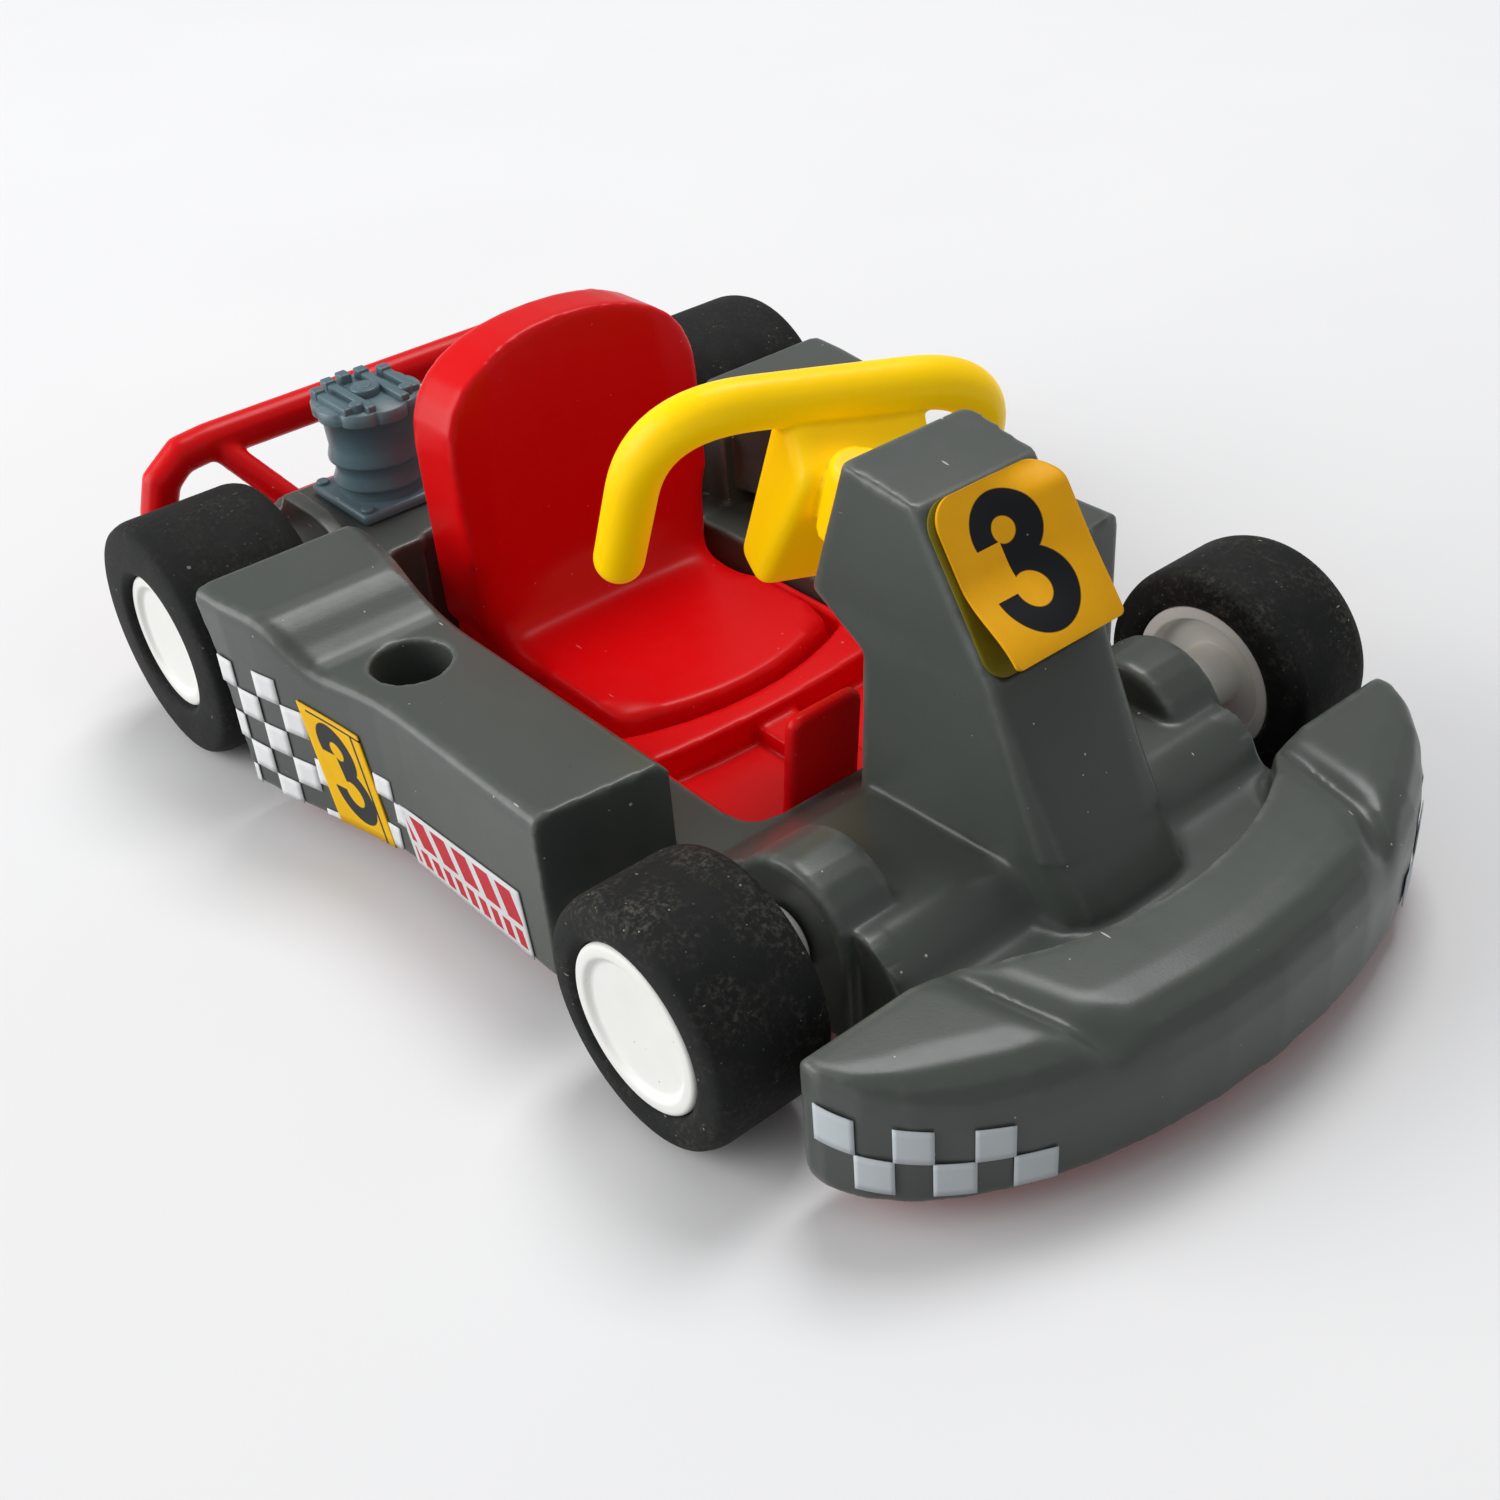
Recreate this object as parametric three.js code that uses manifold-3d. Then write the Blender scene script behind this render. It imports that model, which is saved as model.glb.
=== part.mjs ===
// Toy go-kart: a moulded grey body on a red base pan, a bucket seat, a hinged steering yoke,
// a small engine, a rear bumper loop and two wheelsets.
// Millimetres. +X forward, +Y to the driver's left, +Z up, the ground at Z = 0.
// Sizes along X are measured from the middle of the wheelbase.

import * as THREE from 'three';
import { mergeVertices } from 'three/addons/utils/BufferGeometryUtils.js';
import Module from 'manifold-3d';

const wasm = await Module();
wasm.setup();

// Clearances and walls
const FIT_GAP = 0.3;            // between pieces that plug together
const PRESS_GAP = 0.12;         // tyre on rim, rim on axle
const RUN_GAP = 0.3;            // between turning pieces
const FILM_GAP = 0.12;          // adhesive under a sticker
const WALL = 1.6;               // moulded walls of the body

// Wheels and axles
const WHEELBASE = 76.1;
const FRONT_TYRE_R = 10.8;
const FRONT_TYRE_W = 11.3;
const FRONT_TRACK = 77.0;       // over the outer faces
const FRONT_RIM_R = 7.3;
const FRONT_RIM_SET = 0.15;     // rim face behind the tyre's face
const REAR_TYRE_R = 12.5;
const REAR_TYRE_W = 14.4;
const REAR_TRACK = 80.2;
const REAR_RIM_R = 7.1;
const REAR_RIM_SET = 0.7;
const TYRE_SHOULDER = 1.2;
const RIM_LIP_W = 1.1;
const RIM_DISH = 0.5;
const RIM_INNER_DISH = 1.8;
const RIM_BARREL = 1.3;
const HUB_R = 3.0;
const BORE_FLOOR = 1.0;
const AXLE_R = 1.2;

// Body: levels
const BODY_BASE = 3.0;          // lower edge of the shell
const SILL_Z = 10.6;            // ledge beside the cockpit
const NOSE_Z = 10.5;            // trough between hump and bumper
const SHOULDER_Z = 14.2;        // deck beside the column, over the front axle
const DECK_Z = 19.0;            // rear deck
const DECK_RIB_H = 2.0;
const DECK_RIB_W = 1.8;

// Body: side pods and fenders
const POD_TOP = 19.8;
const POD_IN = 22.2;
const POD_OUT = 34.8;
const POD_FRONT = 21.8;
const POD_FRONT_SKEW = 1.4;     // the inner front corner lies further forward
const POD_EDGE_R = 1.4;
const FENDER_TOP = 23.4;
const FENDER_IN = 24.6;
const FENDER_OUT = 39.4;
const FENDER_BACK = -25.7;
const FENDER_RAKE = 3.0;        // the back face runs forward towards its foot
const RISE_FRONT = -9.5;        // the pod's top rises from here
const RISE_BACK = -17.5;        // and is level again from here
const FLARE_FRONT = 1.0;        // the pod's side swings out from here
const SOCKET_X = -5.6;
const SOCKET_Y = 29.0;
const SOCKET_R = 3.7;
const SOCKET_DEPTH = 8.0;
const SOCKET_WALL = 1.2;

// Body: cockpit, sills and rear deck
const COCKPIT_HALF = 16.0;
const COCKPIT_FRONT = 25.4;
const COCKPIT_BACK = -27.4;
const COCKPIT_R = 3.6;
const SILL_FRONT = 33.0;
const DECK_BACK = -46.0;
const DECK_FRONT = -21.4;
const DECK_HALF = 22.2;

// Body: nose, hump and column
const RAMP_BACK = 26.5;          // the sill starts to rise to the deck here
const SHOULDER_BACK = 32.0;
const SHOULDER_FRONT = 47.3;    // the deck slopes down to the trough from here
const SHOULDER_FOOT = 50.2;
const BOSS_R = 6.9;
const BOSS_IN = 16.3;
const BOSS_OUT = 22.8;
const BOSS_EDGE = 0.7;
const BOSS_PROUD = 1.1;         // the boss stands this far out of the nose's side
const HUMP_BACK = 30.2;
const HUMP_FOOT_X = 54.8;
const HUMP_FOOT_HALF = 7.4;
const HUMP_SKIRT_HALF = 8.3;
const HUMP_FLARE = 2;           // how late the skirt swings out
const HUMP_KNEE_X = 49.4;       // pulls the hump's front line inwards
const HUMP_KNEE_Z = 18.2;
const FACE_FOOT_X = 44.2;       // foot of the inclined number face
const FACE_FOOT_Z = 29.0;
const COLUMN_TOP_Z = 42.6;
const COLUMN_TOP_BACK = 28.3;
const COLUMN_TOP_FRONT = 36.4;
const COLUMN_TOP_DROP = 1.3;    // the top slopes down to the front
const COLUMN_HALF = 7.0;
const CHIN_X = 24.2;            // lower edge of the overhanging dash
const CHIN_Z = 30.0;
const CHIN_UNDER = 3.4;         // height of the undercut below it
const COLUMN_EDGE_R = 0.9;
const HUMP_SOFT_R = 3.6;        // the front corners grow rounder by this towards the foot

// Body: front bumper
const BUMPER_BACK = 51.75;
const BUMPER_DEPTH = 16.5;
const BUMPER_HALF = 34.1;
const BUMPER_TOP = 14.9;
const BUMPER_FILLET = 5.0;
const BUMPER_EDGE = 0.6;
const RIDGE_X = 58.4;           // back edge of the ridge ahead of the hump's foot
const RIDGE_BOW = 0.75;         // how fully that edge bows forward
const VALLEY_HALF = 19.6;       // half width of the trough behind the ridge
const GROOVE_BEND_X = 62.2;     // the grooves turn down over the front from here
const GROOVE_BEND_Y = 17.4;
const GROOVE_END_Y = 14.6;
const GROOVE_W = 1.4;
const GROOVE_DEPTH = 1.5;

// Number plate on the column
const PLATE_HALF = 5.3;
const PLATE_H = 13.2;
const PLATE_T = 0.4;
const PLATE_CORNER = 3.0;
const PLATE_RECESS = 0.5;
const PLATE_MARGIN = 0.3;
const PLATE_TOP_EDGE = 0.7;     // from the column's top edge down to the recess

// Base pan
const PAN_T = 1.4;
const PAN_INSET = 1.0;
const TUB_WALL = 1.3;
const TUB_GAP = 0.4;
const TUB_RIM = 8.8;
const FLOOR_T = 2.3;
const STEP_Z = 8.4;
const STEP_X = 9.9;
const STEP_BOW = 1.1;           // the step's front edge falls back this much at its ends
const PAD_Z = 7.0;
const PAD_HALF = 2.4;
const PEDAL_IN = 2.6;
const PEDAL_OUT = 10.8;
const PEDAL_FOOT_X = 22.4;
const PEDAL_TOP_Z = 18.9;
const PEDAL_T = 1.5;
const PEDAL_LEAN = 6;          // degrees, top forward
const SADDLE_L = 6.0;
const SADDLE_T = 2.4;

// Seat
const SEAT_FRONT = 6.4;
const SEAT_BOW = 3.6;           // the pan's front edge falls back this much at its corners
const SEAT_HALF = 13.6;
const SEAT_BACK_HALF = 15.0;
const SEAT_PAN_Z = 9.9;
const SEAT_BACK_X = -17.0;      // front face of the back at its foot
const SEAT_BACK_T = 7.4;
const SEAT_BACK_RAKE = 1.0;     // the top lies this much further back
const SEAT_SHOULDER_Z = 33.0;
const SEAT_TOP_Z = 39.8;
const SEAT_HOLLOW = 1.1;
const SEAT_HOLLOW_R = 40.0;
const SEAT_INNER_R = 3.6;
const SEAT_EDGE = 1.2;

// Steering yoke
const PIVOT_X = 23.9;
const PIVOT_Z = 39.2;
const STEER_LEAN = 17.8;        // degrees, top forward
const STEER_TURN = -19.6;       // degrees, as left in the photograph
const YOKE_BAR_R = 2.25;
const YOKE_REACH = 8.0;         // from the pin to the bar
const YOKE_HALF = 16.2;
const GRIP_LENGTH = 17.8;
const GRIP_SWEEP = 2.4;
const YOKE_BEND = 7.0;
const YOKE_PLATE_HALF = 5.6;
const YOKE_PLATE_T = 3.4;
const YOKE_PLATE_H = 18.6;
const KNUCKLE_R = 2.3;
const KNUCKLE_TOP = -3.6;       // along the pin, from the bar's level
const KNUCKLE_H = 2.6;
const ARM_HALF = 1.4;
const ARM_LEVEL = 3.2;          // level as far as this, to pass over the lug
const ARM_DROP = 4.0;           // then down to the plate
const LUG_H = 1.7;
const PIN_R = 0.9;

// Engine
const ENGINE_X = -38.0;
const ENGINE_Y = -12.4;
const ENGINE_BASE = 11.4;
const ENGINE_BASE_T = 1.6;
const ENGINE_R = 5.0;
const ENGINE_RING = 0.45;
const ENGINE_RINGS = 4;
const ENGINE_BARREL_H = 7.8;
const ENGINE_HEAD_R = 5.8;
const ENGINE_HEAD_H = 2.0;
const ENGINE_FIN_H = 0.9;
const ENGINE_FINS = 8;
const ENGINE_PEG_R = 1.8;
const ENGINE_PEG_L = 3.0;

// Rear bumper loop
const LOOP_X = -54.0;
const LOOP_R = 2.1;
const LOOP_HALF = 33.2;
const LOOP_TOP_Z = 23.8;
const LOOP_LOW_Z = 12.6;
const STRUT_R = 1.5;
const STRUT_Y = 23.6;
const STRUT_FOOT_Y = 18.0;
const STRUT_FOOT_Z = 16.0;
const STRUT_PLUG = 2.6;

// Stickers
const FILM_T = 0.16;
const SIDE_FILM_BACK = -21.6;       // as far as the flare's last cross section
const SIDE_FILM_FRONT = 20.0;
const SIDE_FILM_LOW = 4.4;
const SIDE_FILM_TOP_BACK = 17.4;
const SIDE_FILM_TOP_FRONT = 12.0;
const BUMPER_FILM_LOW = 3.9;
const BUMPER_FILM_TOP = 9.2;
const BUMPER_FILM_RISE = 1.4;   // higher towards the bumper's end
const BUMPER_FILM_FROM = 37;    // degrees round the bumper's ellipse
const BUMPER_FILM_TO = 80;

// Derived places
const FRONT_AXLE = new THREE.Vector3(WHEELBASE / 2, 0, FRONT_TYRE_R);
const REAR_AXLE = new THREE.Vector3(-WHEELBASE / 2, 0, REAR_TYRE_R);
const PAN_BOTTOM = BODY_BASE - PAN_T;
const FLOOR_Z = BODY_BASE + FLOOR_T;
const TUB_OUT = COCKPIT_HALF - TUB_GAP;
const TUB_IN = TUB_OUT - TUB_WALL;
const NOSE_HALF = BOSS_OUT - BOSS_PROUD;
const ORIGIN_X = (BUMPER_BACK + BUMPER_DEPTH + LOOP_X - LOOP_R) / 2;
const LEAN = THREE.MathUtils.degToRad(STEER_LEAN);

// Materials
const GREY = { color: 0x4a4e50, roughness: 0.42, metalness: 0.0 };
const RED = { color: 0xc8102a, roughness: 0.35, metalness: 0.0 };
const YELLOW = { color: 0xf6c400, roughness: 0.33, metalness: 0.0 };
const RUBBER = { color: 0x1b1c1d, roughness: 0.8, metalness: 0.0 };
const WHITE = { color: 0xeeedea, roughness: 0.45, metalness: 0.0 };
const BLUE_GREY = { color: 0x51626d, roughness: 0.38, metalness: 0.2 };
const STEEL = { color: 0xb9bcc0, roughness: 0.3, metalness: 0.9 };
const PLATE_YELLOW = { color: 0xf5b21a, roughness: 0.4, metalness: 0.0 };
const FILM = { color: 0x565a5c, roughness: 0.4, metalness: 0.0 };

// Sketch planes: each maps a flat sketch and its pull direction into the kart's frame
const UNIT_X = new THREE.Vector3(1, 0, 0);
const UNIT_Y = new THREE.Vector3(0, 1, 0);
const UNIT_Z = new THREE.Vector3(0, 0, 1);
const SIDE_PLANE = new THREE.Matrix4().makeBasis(UNIT_X, UNIT_Z, UNIT_Y.clone().negate());
const FRONT_PLANE = new THREE.Matrix4().makeBasis(UNIT_Y, UNIT_Z, UNIT_X);
const TOP_PLANE = new THREE.Matrix4();

// Makes a closed solid from a geometry, with its faces pointing out.
function solidOf(geometry) {
  const bare = new THREE.BufferGeometry();
  bare.setAttribute('position', geometry.attributes.position.clone());
  if (geometry.index) bare.setIndex(geometry.index.clone());
  const merged = mergeVertices(bare, 1e-4);
  const position = merged.attributes.position;
  const corners = [];
  let volume = 0;
  const a = new THREE.Vector3();
  const b = new THREE.Vector3();
  const c = new THREE.Vector3();
  for (let i = 0; i < merged.index.count; i += 3) {
    const [p, q, r] = [0, 1, 2].map((k) => merged.index.getX(i + k));
    if (p === q || q === r || r === p) continue;
    a.fromBufferAttribute(position, p);
    b.fromBufferAttribute(position, q);
    c.fromBufferAttribute(position, r);
    volume += a.dot(b.cross(c)) / 6;
    corners.push([p, q, r]);
  }
  const triVerts = new Uint32Array(corners.flatMap(([p, q, r]) => (volume < 0 ? [p, r, q] : [p, q, r])));
  const vertProperties = new Float32Array(position.array);
  return new wasm.Manifold(new wasm.Mesh({ numProp: 3, vertProperties, triVerts }));
}

// Gives a solid back as a geometry.
function geometryOf(solid) {
  const mesh = solid.getMesh();
  const geometry = new THREE.BufferGeometry();
  geometry.setAttribute('position', new THREE.BufferAttribute(new Float32Array(mesh.vertProperties), 3));
  geometry.setIndex(new THREE.BufferAttribute(new Uint32Array(mesh.triVerts), 1));
  geometry.computeVertexNormals();
  return geometry;
}

// Joins a list of solids into one.
function joined(solids) {
  return solids.reduce((whole, piece) => whole.add(piece));
}

// Makes the named mesh of one piece.
function piece(name, solid, finish) {
  const mesh = new THREE.Mesh(geometryOf(solid), new THREE.MeshStandardMaterial(finish));
  mesh.name = name;
  return mesh;
}

// Rounds the corners of a flat outline; radii and steps are one value or one for each corner.
function rounded(outline, radii, steps = 3) {
  const points = [];
  outline.forEach((corner, i) => {
    const here = new THREE.Vector2(...corner);
    const before = new THREE.Vector2(...outline[(i + outline.length - 1) % outline.length]);
    const after = new THREE.Vector2(...outline[(i + 1) % outline.length]);
    const radius = Array.isArray(radii) ? radii[i] : radii;
    const back = before.sub(here);
    const on = after.sub(here);
    const reach = Math.min(radius, back.length() * 0.49, on.length() * 0.49);
    if (reach < 1e-6) {
      points.push(here);
      return;
    }
    const start = here.clone().addScaledVector(back.normalize(), reach);
    const end = here.clone().addScaledVector(on.normalize(), reach);
    const count = Array.isArray(steps) ? steps[i] : steps;
    points.push(...new THREE.QuadraticBezierCurve(start, here, end).getPoints(count));
  });
  return points;
}

// Pulls a flat outline to a depth, with rounded end edges where edge is not zero.
function pulled(points, depth, plane, edge = 0, steps = 2) {
  const geometry = new THREE.ExtrudeGeometry(new THREE.Shape(points), {
    depth: depth - 2 * edge,
    bevelEnabled: edge > 0,
    bevelThickness: edge,
    bevelSize: edge,
    bevelOffset: -edge,
    bevelSegments: steps,
    curveSegments: 1,
  });
  geometry.translate(0, 0, edge);
  return geometry.applyMatrix4(plane);
}

// Pulls a side sketch (x, z) across the kart between two values of y.
function acrossY(points, from, to, edge = 0, steps = 2) {
  return solidOf(pulled(points, to - from, SIDE_PLANE, edge, steps).translate(0, to, 0));
}

// Pulls a front sketch (y, z) along the kart between two values of x.
function alongX(points, from, to, edge = 0, steps = 2) {
  return solidOf(pulled(points, to - from, FRONT_PLANE, edge, steps).translate(from, 0, 0));
}

// Pulls a plan sketch (x, y) upwards between two levels.
function upZ(points, from, to, edge = 0, steps = 2) {
  return solidOf(pulled(points, to - from, TOP_PLANE, edge, steps).translate(0, 0, from));
}

// Corners of an upright rectangle between two opposite corners.
function box2(x0, y0, x1, y1) {
  return [[x0, y0], [x1, y0], [x1, y1], [x0, y1]];
}

// Turns an outline's points into plain vectors for a shape.
function sharp(outline) {
  return outline.map((corner) => new THREE.Vector2(...corner));
}

// Skins a row of rings with equal point counts and closes both ends.
function loft(rings) {
  const count = rings[0].length;
  const points = rings.flat();
  const index = [];
  rings.slice(1).forEach((ring, r) => {
    for (let i = 0; i < count; i += 1) {
      const a = r * count + i;
      const b = r * count + (i + 1) % count;
      index.push(a, b, b + count, a, b + count, a + count);
    }
  });
  [rings[0], rings[rings.length - 1]].forEach((ring, end) => {
    const centre = ring.reduce((sum, p) => sum.add(p), new THREE.Vector3()).divideScalar(count);
    const base = end === 0 ? 0 : (rings.length - 1) * count;
    points.push(centre);
    for (let i = 0; i < count; i += 1) {
      const fan = [points.length - 1, base + (i + 1) % count, base + i];
      index.push(...(end === 0 ? fan : fan.reverse()));
    }
  });
  const geometry = new THREE.BufferGeometry().setFromPoints(points);
  geometry.setIndex(index);
  return solidOf(geometry);
}

// Revolves a profile of (radius, distance) pairs about the Y axis.
function turned(profile, segments) {
  return solidOf(new THREE.LatheGeometry(sharp(profile), segments));
}

// Revolves a profile of (radius, height) pairs about the Z axis.
function turnedUp(profile, segments) {
  return solidOf(new THREE.LatheGeometry(sharp(profile), segments).rotateX(Math.PI / 2));
}

// A round bar along a curve, with flat ends.
function barAlong(curve, radius, steps, sides) {
  const section = new THREE.Shape();
  for (let i = 0; i < sides; i += 1) {
    const angle = (i / sides) * 2 * Math.PI;
    const point = [radius * Math.cos(angle), radius * Math.sin(angle)];
    if (i === 0) section.moveTo(...point);
    else section.lineTo(...point);
  }
  return solidOf(new THREE.ExtrudeGeometry(section, { steps, extrudePath: curve, curveSegments: 1 }));
}

// A straight round bar between two points.
function barBetween(from, to, radius, sides) {
  return barAlong(new THREE.LineCurve3(from, to), radius, 1, sides);
}

// A smooth step from 0 to 1.
function ease(t) {
  return THREE.MathUtils.smoothstep(t, 0, 1);
}

// Cuts at y = 0 and its mirror image are made by one maker called for each side.
function bothSides(make) {
  return [make(1), make(-1)];
}

// Side pods: height, outer and inner line at a place along the kart
function podTop(x) {
  return POD_TOP + (FENDER_TOP - POD_TOP) * ease((RISE_FRONT - x) / (RISE_FRONT - RISE_BACK));
}

function podOut(x) {
  return POD_OUT + (FENDER_OUT - POD_OUT) * ease((FLARE_FRONT - x) / (FLARE_FRONT - FENDER_BACK));
}

function podIn(x) {
  return POD_IN + (FENDER_IN - POD_IN) * ease((RISE_FRONT - x) / (RISE_FRONT - RISE_BACK));
}

// Places of the pod's cross sections between its front and back faces.
function podStops() {
  const stops = [];
  for (let i = 0; i <= 3; i += 1) stops.push(FLARE_FRONT + ((RISE_FRONT - FLARE_FRONT) * i) / 3);
  for (let i = 1; i <= 5; i += 1) stops.push(RISE_FRONT + ((RISE_BACK - RISE_FRONT) * i) / 5);
  stops.push((RISE_BACK + FENDER_BACK) / 2);
  return stops;
}

// One cross section of a pod; wall sets it in on every side but the bottom.
function podRing(x, side, wall, low, skew, rake) {
  const inner = podIn(x) + wall;
  const outer = podOut(x) - wall;
  const top = podTop(x) - wall;
  const edge = Math.max(POD_EDGE_R - wall * 0.5, 0.3);
  const corners = [[inner, low], [outer, low], [outer, top], [inner, top]];
  return rounded(corners, [0, 0, edge, edge * 0.6], [1, 1, 3, 1]).map((p) => {
    const forward = skew * (podOut(x) - p.x) / (podOut(x) - podIn(x));
    const lean = rake * (podTop(x) - p.y) / (podTop(x) - BODY_BASE);
    return new THREE.Vector3(x + forward + lean, side * p.x, p.y);
  });
}

// A pod from its front to the fender's back face, or the hollow inside it.
function pod(side, wall, low) {
  const front = POD_FRONT - wall;
  const back = FENDER_BACK + wall;
  const stops = [front, ...podStops(), back];
  const rings = stops.map((x, i) => {
    const skew = i === 0 ? POD_FRONT_SKEW : 0;
    const rake = i === stops.length - 1 ? FENDER_RAKE : 0;
    return podRing(x, side, wall, low, skew, rake);
  });
  return loft(rings);
}

// Front bumper: its plan is half an ellipse with a straight back
function bumperRing(angle, wall, low) {
  const y = BUMPER_HALF * Math.sin(angle);
  const back = BUMPER_BACK + wall;
  const front = BUMPER_BACK + BUMPER_DEPTH * Math.cos(angle) - wall;
  const top = BUMPER_TOP - wall;
  const fillet = Math.min(BUMPER_FILLET, (front - back) * 0.8);
  const corners = [[back, low], [back, top], [front, top], [front, low]];
  return rounded(corners, [0, BUMPER_EDGE, fillet, 0.8], [1, 1, 4, 1]).map((p) => new THREE.Vector3(p.x, y, p.y));
}

function bumperBody(wall, low, reach, stations) {
  const limit = THREE.MathUtils.degToRad(reach);
  const rings = [];
  for (let i = 0; i <= stations; i += 1) rings.push(bumperRing(limit * (2 * i / stations - 1), wall, low));
  return loft(rings);
}

// Back edge of the bumper's ridge at a place across the kart.
function ridgeBack(y) {
  const share = Math.max(1 - (y / VALLEY_HALF) ** 2, 0);
  return BUMPER_BACK + (RIDGE_X - BUMPER_BACK) * share ** RIDGE_BOW;
}

// The trough behind the bumper's middle, which leaves the ridge and the two flat lobes;
// wall thickens it, to keep the hollow of the bumper clear of it.
function bumperValley(wall) {
  const half = VALLEY_HALF + wall;
  const plan = [[BUMPER_BACK - 1, half], [BUMPER_BACK - 1, -half]];
  for (let i = 0; i <= 12; i += 1) {
    const share = i / 6 - 1;
    plan.push([ridgeBack(share * VALLEY_HALF) + wall, share * half]);
  }
  return upZ(sharp(plan), NOSE_Z - wall, BUMPER_TOP + 1);
}

// A straight V-shaped cut between two points of its bottom line.
function veeCut(from, to, halfWidth, height) {
  const ahead = to.clone().sub(from);
  const length = ahead.length();
  ahead.normalize();
  const across = new THREE.Vector3().crossVectors(UNIT_Z, ahead).normalize();
  const up = new THREE.Vector3().crossVectors(ahead, across);
  const frame = new THREE.Matrix4().makeBasis(across, up, ahead).setPosition(from);
  return solidOf(pulled(sharp([[0, 0], [halfWidth, height], [-halfWidth, height]]), length, frame));
}

// The groove between the ridge and a lobe: along the top, then down over the front fillet;
// wall thickens it, to keep the hollow of the bumper clear of it.
function bumperGroove(side, wall) {
  const bottom = BUMPER_TOP - GROOVE_DEPTH - 1.6 * wall;
  const height = 2 * GROOVE_DEPTH + 5 * wall;
  const halfWidth = height * GROOVE_W / GROOVE_DEPTH;
  const start = new THREE.Vector3(BUMPER_BACK - 0.6, side * (VALLEY_HALF + 0.6), bottom + 0.5);
  const bend = new THREE.Vector3(GROOVE_BEND_X, side * GROOVE_BEND_Y, bottom);
  const end = new THREE.Vector3(BUMPER_BACK + BUMPER_DEPTH, side * GROOVE_END_Y, bottom - BUMPER_FILLET * 0.62);
  const past = bend.clone().addScaledVector(bend.clone().sub(start).normalize(), 0.6 + 2 * wall);
  const early = bend.clone().addScaledVector(bend.clone().sub(end).normalize(), 2 * wall);
  return joined([veeCut(start, past, halfWidth, height), veeCut(early, end, halfWidth, height)]);
}

// Hump and column: half widths and front and back lines at a height
function humpFront(z) {
  if (z >= FACE_FOOT_Z) {
    const top = COLUMN_TOP_Z - COLUMN_TOP_DROP;
    const t = (z - FACE_FOOT_Z) / (top - FACE_FOOT_Z);
    return FACE_FOOT_X + (COLUMN_TOP_FRONT - FACE_FOOT_X) * t;
  }
  const curve = new THREE.QuadraticBezierCurve(
    new THREE.Vector2(FACE_FOOT_X, FACE_FOOT_Z),
    new THREE.Vector2(HUMP_KNEE_X, HUMP_KNEE_Z),
    new THREE.Vector2(HUMP_FOOT_X, NOSE_Z),
  );
  let low = 0;
  let high = 1;
  for (let i = 0; i < 30; i += 1) {
    const mid = (low + high) / 2;
    if (curve.getPoint(mid).y > z) low = mid;
    else high = mid;
  }
  return curve.getPoint((low + high) / 2).x;
}

function humpBack(z) {
  if (z >= CHIN_Z) {
    return CHIN_X + (COLUMN_TOP_BACK - CHIN_X) * (z - CHIN_Z) / (COLUMN_TOP_Z - CHIN_Z);
  }
  const t = THREE.MathUtils.clamp((CHIN_Z - z) / CHIN_UNDER, 0, 1);
  return CHIN_X + (HUMP_BACK - CHIN_X) * t;
}

function humpHalf(z) {
  const u = THREE.MathUtils.clamp((z - NOSE_Z) / (COLUMN_TOP_Z - NOSE_Z), 0, 1);
  return COLUMN_HALF + (HUMP_SKIRT_HALF - COLUMN_HALF) * (1 - u) ** HUMP_FLARE;
}

function humpRing(z, wall) {
  const back = humpBack(z) + wall;
  const t = THREE.MathUtils.clamp((z - NOSE_Z) / (FACE_FOOT_Z - NOSE_Z), 0, 1);
  const front = humpFront(z) - wall * (1.2 + 2 * (1 - t) ** 2);
  const rear = humpHalf(z) - wall;
  const nose = HUMP_FOOT_HALF + (COLUMN_HALF - 0.3 - HUMP_FOOT_HALF) * t - wall;
  const corners = [[back, -rear], [front, -nose], [front, nose], [back, rear]];
  const soft = COLUMN_EDGE_R + HUMP_SOFT_R * (1 - t);
  const radii = [COLUMN_EDGE_R, soft, soft, COLUMN_EDGE_R];
  return rounded(corners, radii, [2, 3, 3, 2]).map((p) => new THREE.Vector3(p.x, p.y, z));
}

function hump(wall, low) {
  const top = COLUMN_TOP_Z;
  const rise = FACE_FOOT_Z - NOSE_Z;
  const levels = [
    low, NOSE_Z - 0.4, NOSE_Z + rise * 0.05, NOSE_Z + rise * 0.12, NOSE_Z + rise * 0.24, NOSE_Z + rise * 0.42,
    NOSE_Z + rise * 0.64, CHIN_Z - CHIN_UNDER, FACE_FOOT_Z, CHIN_Z, top + 1.5,
  ].sort((a, b) => a - b);
  const body = loft(levels.map((z) => humpRing(z, wall)));
  const crest = top - wall;
  const slope = COLUMN_TOP_DROP / (COLUMN_TOP_FRONT - COLUMN_TOP_BACK);
  const above = [
    [CHIN_X - 5, crest + slope * (COLUMN_TOP_BACK - CHIN_X + 5)], [FACE_FOOT_X, crest - slope * (FACE_FOOT_X - COLUMN_TOP_BACK)],
    [FACE_FOOT_X, top + 5], [CHIN_X - 5, top + 5],
  ];
  return body.subtract(acrossY(sharp(above), -HUMP_SKIRT_HALF, HUMP_SKIRT_HALF));
}

// Frame of the inclined number face: across, up the face, and out of it
function faceFrame() {
  const top = new THREE.Vector3(COLUMN_TOP_FRONT, 0, COLUMN_TOP_Z - COLUMN_TOP_DROP);
  const foot = new THREE.Vector3(FACE_FOOT_X, 0, FACE_FOOT_Z);
  const up = top.clone().sub(foot).normalize();
  const out = new THREE.Vector3().crossVectors(UNIT_Y, up);
  return new THREE.Matrix4().makeBasis(UNIT_Y, up, out).setPosition(top);
}

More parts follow.
